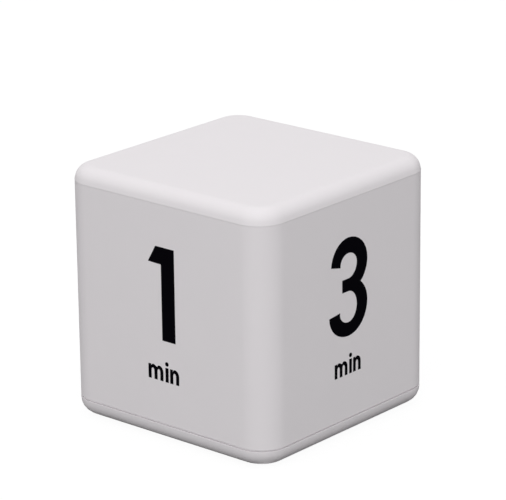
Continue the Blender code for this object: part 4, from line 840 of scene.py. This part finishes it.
printed_word("word_under_1", -4.65, 15.1, 0)
printed_word("word_under_3", -5.96, 15.5, 1)
printed_word("word_under_5", -4.9, 15.2, 2)
printed_word("word_under_10", -4.9, 15.2, 3)
for figure in ("numeral_1", "numeral_3", "numeral_5", "numeral_10_one", "numeral_10_zero"):
    dressed(figure, ink, edge=0.0)


# Underside


def arrow_cutter(tip, tail, centre, width, depth):
    """The form that carves a plain arrow into the door's face: a broad head and a short shaft, along X."""
    neck = tip + (tail - tip) * 0.55
    head, shaft = width / 2, width / 6
    outline = [
        (tip, centre), (neck, centre + head), (neck, centre + shaft), (tail, centre + shaft),
        (tail, centre - shaft), (neck, centre - shaft), (neck, centre - head),
    ]
    below = 1.0
    mesh = closed_mesh("arrow", *plate(outline, depth + below, depth))
    # The cut leaves this grey on the recess: painted shade in the arrow
    mesh.materials.append(mark)
    return linked("arrow", mesh)


dressed("bottom_cover", white, edge=0.10, lift=REST_LIFT)
arrow = arrow_cutter(tip=-17.0, tail=-9.6, centre=9.05, width=6.0, depth=0.45)
dressed("battery_door", white, edge=0.08, lift=REST_LIFT, carve=arrow)
dressed("power_knob", black, edge=0.06)
dressed("lcd_lens", window, edge=0.06)
dressed("lcd_frame", black, edge=0.06)
dressed("lcd_glass", display, edge=0.04)
dressed("zebra_strip", rubber, edge=0.05)
for number in range(1, 5):
    dressed(f"cover_screw_{number}", zinc, edge=0.05)
    dressed(f"board_screw_{number}", zinc, edge=0.05)


def letter_o(left, width, height, stroke):
    """An upright oval ring."""
    middle = (left + width / 2, height / 2)
    outer = curve(middle, (width / 2, height / 2), 0, 352.5, 48)
    inner = curve(middle, (width / 2 - stroke, height / 2 - stroke), 0, 352.5, 48)
    return ring_plate(outer, inner, SWITCH_FILM, 0.0)


def letter_n(left, width, height, stroke):
    """Two stems joined by a slanted bar, as one outline."""
    right = left + width
    slant = stroke * 1.25
    outline = [
        (left, 0), (left + stroke, 0), (left + stroke, height - slant * 1.6), (right - stroke, 0),
        (right, 0), (right, height), (right - stroke, height), (right - stroke, slant * 1.6),
        (left + stroke, height), (left, height),
    ]
    return plate(outline, SWITCH_FILM, 0.0)


def letter_f(left, width, height, stroke):
    """A stem with a top bar and a shorter middle bar."""
    right = left + width
    middle = height * 0.46
    outline = [
        (left, 0), (left + stroke, 0), (left + stroke, middle), (right - stroke * 0.5, middle),
        (right - stroke * 0.5, middle + stroke), (left + stroke, middle + stroke),
        (left + stroke, height - stroke), (right, height - stroke), (right, height), (left, height),
    ]
    return plate(outline, SWITCH_FILM, 0.0)


def switch_word(name, letters, left, low, height=1.35, stroke=0.27, space=0.22):
    """A small printed word beside the switch, its letters set one after another."""
    parts = []
    for letter, width in letters:
        parts.append(letter(left, width, height, stroke))
        left += width + space
    points, faces = gathered(parts)
    points[:, 1] += low
    piece(name, seen_below(points), faces, ink)


switch_word("word_on", ((letter_o, 1.15), (letter_n, 0.98)), 23.75, 9.9)
switch_word("word_off", ((letter_o, 1.15), (letter_f, 0.76), (letter_f, 0.76)), 23.55, 13.6)


# The display's figures: the row's middle across the cube, how deep it lies, its lean (across for each
# millimetre up), the figures' middles along the row, and the two dots between them

DISPLAY_Y = 12.45
DISPLAY_DEPTH = 2.86
FIGURE_LEAN = 0.09
FIGURE_PLACES = (-9.6, -4.5, 4.5, 9.6)
DOT_RISE = 1.5
DOT_RADIUS = 0.42


def segment(start, end, width=0.78, gap=0.07):
    """One bar of the display: it narrows to a point at both ends over half its width."""
    start, end = np.array(start, dtype=float), np.array(end, dtype=float)
    way = (end - start) / np.linalg.norm(end - start)
    side = np.array([-way[1], way[0]]) * width / 2
    start, end, turn = start + way * gap, end - way * gap, way * width / 2
    return [start, start + turn - side, end - turn - side, end, end - turn + side, start + turn + side]


def display_figure(middle, width=3.7, height=6.9):
    """The seven bars of one figure about its middle, leaning a little to the right.

    They run: top, upper right, lower right, foot, lower left, upper left, middle.
    """
    half, rise = width / 2, height / 2
    corners = {
        "a": (-half, rise), "b": (half, rise), "c": (half, 0.0), "d": (half, -rise),
        "e": (-half, -rise), "f": (-half, 0.0),
    }
    pairs = ("ab", "bc", "cd", "de", "ef", "fa", "fc")
    bars = np.array([segment(corners[start], corners[end]) for start, end in pairs])
    bars[..., 0] += middle + bars[..., 1] * FIGURE_LEAN
    return bars


def display_print(name, outlines, finish):
    """A thin film of bars on the front of the glass, seen through the window from below."""
    lifted = [np.asarray(outline) + (0.0, DISPLAY_Y) for outline in outlines]
    parts = [plate(outline, DISPLAY_FILM, -DISPLAY_DEPTH) for outline in lifted]
    points, faces = gathered(parts)
    piece(name, seen_below(points), faces, finish)


shown = []
faint = []
for middle in FIGURE_PLACES:
    bars = display_figure(middle)
    shown += list(bars[:6])
    faint.append(bars[6])
for rise in (-DOT_RISE, DOT_RISE):
    dot = curve((rise * FIGURE_LEAN, rise), (DOT_RADIUS, DOT_RADIUS), 0, 345, 24)
    shown.append(np.array(dot))
dark_bar = moulded("display_dark", (0.022, 0.024, 0.028), (0.014, 0.016, 0.019), 0.1, 0.3)
display_print("display_figures", shown, dark_bar)
unlit_bar = moulded("display_unlit", (0.245, 0.275, 0.225), (0.225, 0.255, 0.205), 0.1, 0.3)
display_print("display_faint", faint, unlit_bar)


# Board and what it carries

dressed("main_board", board, edge=0.03)
dressed("controller_blob", resin, edge=0.0)
dressed("crystal", tin, edge=0.08)
dressed("capacitor", black_skin, edge=0.08)
dressed("driver_transistor", matt_black, edge=0.05)
dressed("switch_case", tin, edge=0.06)
dressed("switch_lever", black, edge=0.05)
for letter in "abc":
    dressed(f"tilt_can_{letter}", nickel, edge=0.08)
    dressed(f"tilt_base_{letter}", black, edge=0.06)
    dressed(f"tilt_ball_{letter}", brass, edge=0.0)
dressed("buzzer_case", black, edge=0.10)
dressed("buzzer_base", grey, edge=0.05)
dressed("buzzer_magnet", ferrite, edge=0.05)
dressed("buzzer_coil", copper, edge=0.04)
dressed("buzzer_diaphragm", brass, edge=0.0)


# Battery bay

CELL_STEPS = 64
FIRST_JACKET_ROW = 5
LAST_JACKET_ROW = 13

# Where each spring's axis lies: (y, z) in millimetres

SPRING_PLACES = {"bridge_spring": (14.4, 7.35), "negative_spring": (3.7, 7.35)}


def cell(name, positive):
    """A round cell along X: jacket rolled over both ends, steel base and crimped cap with its nub.

    The profile is (radius, distance from the base), turned round the cell's own axis. The jacket's finish
    goes on the rows from the first to the last that its sleeve covers, and bare metal on the others.
    """
    low, high = (np.array(corner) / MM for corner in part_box(name))
    base = low[0] if positive > 0 else high[0]
    length = high[0] - low[0]
    radius = (high[2] - low[2]) / 2
    top = length - 1.0
    profile = [
        (POLE, 0.10), (3.1, 0.10), (3.35, 0.02), (4.05, 0.0), (4.2, 0.10),
        (4.28, 0.06), (4.75, 0.03), (5.02, 0.15), (radius, 0.42), (radius, 1.2), (radius, top - 1.2),
        (radius, top - 0.42), (5.02, top - 0.15), (4.75, top - 0.03), (4.28, top - 0.06),
        (4.2, top - 0.14), (2.7, top - 0.16), (2.3, top - 0.05), (2.05, top + 0.05),
        (1.9, top + 0.25), (1.9, length - 0.18), (1.8, length - 0.04), (1.62, length), (POLE, length),
    ]
    middle = (base, (low[1] + high[1]) / 2, (low[2] + high[2]) / 2)
    points, faces = turned(profile, CELL_STEPS, "X", middle, way=positive)
    row = np.arange(len(faces) - 2) // CELL_STEPS
    covered = (row >= FIRST_JACKET_ROW) & (row <= LAST_JACKET_ROW)
    paint = np.where(covered, 0, 1).tolist() + [1, 1]
    finishes = [cell_finish(name + "_jacket", base, positive, length, middle[1]), nickel]
    piece(name + "_body", points, faces, finishes, (name,), smooth=28, paint=paint)


def contact_spring(name, way, turns=3.0, wire=0.3, wide=2.7, narrow=1.7, ease=0.09, steps=150):
    """A conical spring of round wire, its end turns pressed flat on the plate and on the cell.

    Along its length s from 0 to 1 the radius goes evenly from wide to narrow, the turn is turns * s, and
    the distance from the plate eases in and out: s - ease * sin(2 pi s).
    """
    low, high = (np.array(corner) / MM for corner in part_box(name))
    share = np.linspace(0.0, 1.0, steps)
    radius = wide + (narrow - wide) * share
    turn = math.tau * turns * share
    eased = share - ease * np.sin(math.tau * share)
    start = (high[0] if way > 0 else low[0]) - way * wire
    run = high[0] - low[0] - 2 * wire
    outward = np.stack([np.zeros(steps), np.cos(turn), np.sin(turn)], axis=-1)
    across, upward = SPRING_PLACES[name]
    path = outward * radius[:, None] + [0.0, across, upward]
    path[:, 0] = start - way * run * eased
    points, faces = swept(path, outward, wire)
    piece(name + "_coil", points, faces, nickel, (name,), smooth=40)


cell("cell_front", 1.0)
cell("cell_back", -1.0)
for name in ("bridge_plate", "negative_plate", "positive_plate"):
    dressed(name, nickel, edge=0.05)
contact_spring("bridge_spring", 1.0)
contact_spring("negative_spring", -1.0)
dressed("red_lead", red_skin, edge=0.0)
dressed("black_lead", black_skin, edge=0.0)


# Floor, light and camera

# The floor's half side and its drop under the object, in metres, and the strength of its glow and of the
# sky that lights the object. The sky that is seen has strength 1

FLOOR_HALF = 3.0
FLOOR_DROP = 0.00003
FLOOR_GLOW = 0.92
SKY_LIGHT = 0.845
CUBE_MIDDLE = (0.0, 0.0, 0.031)


def bearing(azimuth, elevation):
    """The unit vector (sin a cos e, -cos a cos e, sin e) for an azimuth a and an elevation e."""
    flat = math.cos(elevation)
    return Vector((math.sin(azimuth) * flat, -math.cos(azimuth) * flat, math.sin(elevation)))


def softbox(name, azimuth, elevation, distance, size, power, aim=CUBE_MIDDLE, spread=180.0):
    """An area lamp at a bearing from the aim point: azimuth 0 stands in front of the figure 1.

    size is its width across and its height along the slope, and spread narrows its beam, in degrees.
    """
    away = bearing(math.radians(azimuth), math.radians(elevation))
    data = bpy.data.lights.new(name, "AREA")
    data.shape = "RECTANGLE"
    data.size, data.size_y = size
    data.energy = power
    data.spread = math.radians(spread)
    lamp = linked(name, data)
    lamp.location = Vector(aim) + away * distance
    lamp.rotation_euler = away.to_track_quat("Z", "Y").to_euler()
    lamp.visible_camera = False


def seen_directly(finish):
    """1 on a ray from the camera, in a mirror or through glass, and 0 on a ray that lights the object."""
    straight = finish.node("LightPath", output="Is Camera Ray")
    mirrored = finish.node("LightPath", output="Is Glossy Ray")
    through = finish.node("LightPath", output="Is Transmission Ray")
    return straight.above(mirrored).above(through)


def floor_finish():
    """A floor of dark cloth with a white glow, so that it looks white and keeps the object's shadow.

    The glow is there on a ray from the camera or through glass alone, so it doesn't light the object.
    From below, and to the lamps' light, the floor is clear.
    """
    finish = Finish("floor_finish")
    fibre = finish.noise(3.0, 3.0)
    colour = finish.blend(fibre, tone(0.09, 0.09, 0.09), tone(0.11, 0.11, 0.11))
    cloth = finish.node("BsdfDiffuse", None, {"Color": colour})
    straight = finish.node("LightPath", output="Is Camera Ray")
    through = finish.node("LightPath", output="Is Transmission Ray")
    glow = finish.node("Emission", None, {"Strength": straight.above(through) * FLOOR_GLOW})
    lit = finish.node("AddShader", None, {0: cloth, 1: glow})
    clear = finish.node("BsdfTransparent")
    under = finish.node("NewGeometry", output="Backfacing")
    shadow = finish.node("LightPath", output="Is Shadow Ray")
    both = finish.node("MixShader", None, {0: under.above(shadow), 1: lit, 2: clear})
    return finish.shown(both)


sheet = bpy.data.meshes.new("floor")
sheet_corners = ((-1, -1), (1, -1), (1, 1), (-1, 1))
sheet.from_pydata(
    [(x * FLOOR_HALF, y * FLOOR_HALF, -FLOOR_DROP) for x, y in sheet_corners], [], [(0, 1, 2, 3)]
)
sheet.materials.append(floor_finish())
floor = linked("floor", sheet)

world = bpy.data.worlds.new("studio")
world.use_nodes = True
bpy.context.scene.world = world
sky = Finish("studio", world.node_tree)
sky_strength = SKY_LIGHT + seen_directly(sky) * (1.0 - SKY_LIGHT)
sky_light = sky.node("Background", None, {"Color": tone(1.0, 1.0, 1.0), "Strength": sky_strength})
sky.node("OutputWorld", None, {0: sky_light})

# The key light and a weak fill, then two narrow lamps under the floor: one lights the underside, and the
# other the battery door where it has slid out

softbox("key_softbox", azimuth=35.0, elevation=23.5, distance=1.2, size=(0.7, 0.7), power=4.95)
softbox("fill_softbox", azimuth=262.0, elevation=6.0, distance=1.2, size=(0.6, 0.6), power=0.8)
softbox(
    "underside_lamp", azimuth=270.0, elevation=-52.0, distance=0.06, size=(0.0568, 0.0448),
    power=0.0056, aim=(0.0, 0.0, 0.0), spread=2.0,
)
softbox(
    "open_door_lamp", azimuth=90.0, elevation=-43.0, distance=0.06, size=(0.0250, 0.0356),
    power=0.00255, aim=(-0.0547, 0.00905, 0.0), spread=2.0,
)


def camera():
    """A long lens a little above the cube, turned 41 degrees round from the face with the 1."""
    azimuth, elevation, roll = 0.7133, 0.3209, -0.0114
    place = (0.43207, -0.49797, 0.25841)
    back = bearing(azimuth, elevation)
    right = (-back).cross(Vector((0.0, 0.0, 1.0))).normalized()
    up = right.cross(-back)
    across = right * math.cos(roll) + up * math.sin(roll)
    upright = up * math.cos(roll) - right * math.sin(roll)
    turn = Matrix((across, upright, back)).transposed()
    data = bpy.data.cameras.new("camera")
    data.sensor_fit = "HORIZONTAL"
    data.sensor_width = 36.0
    data.lens = 208.04
    data.clip_end = 10.0
    made = linked("camera", data)
    made.matrix_world = Matrix.Translation(place) @ turn.to_4x4()
    bpy.context.scene.camera = made


camera()
bpy.context.scene.view_settings.view_transform = "Standard"
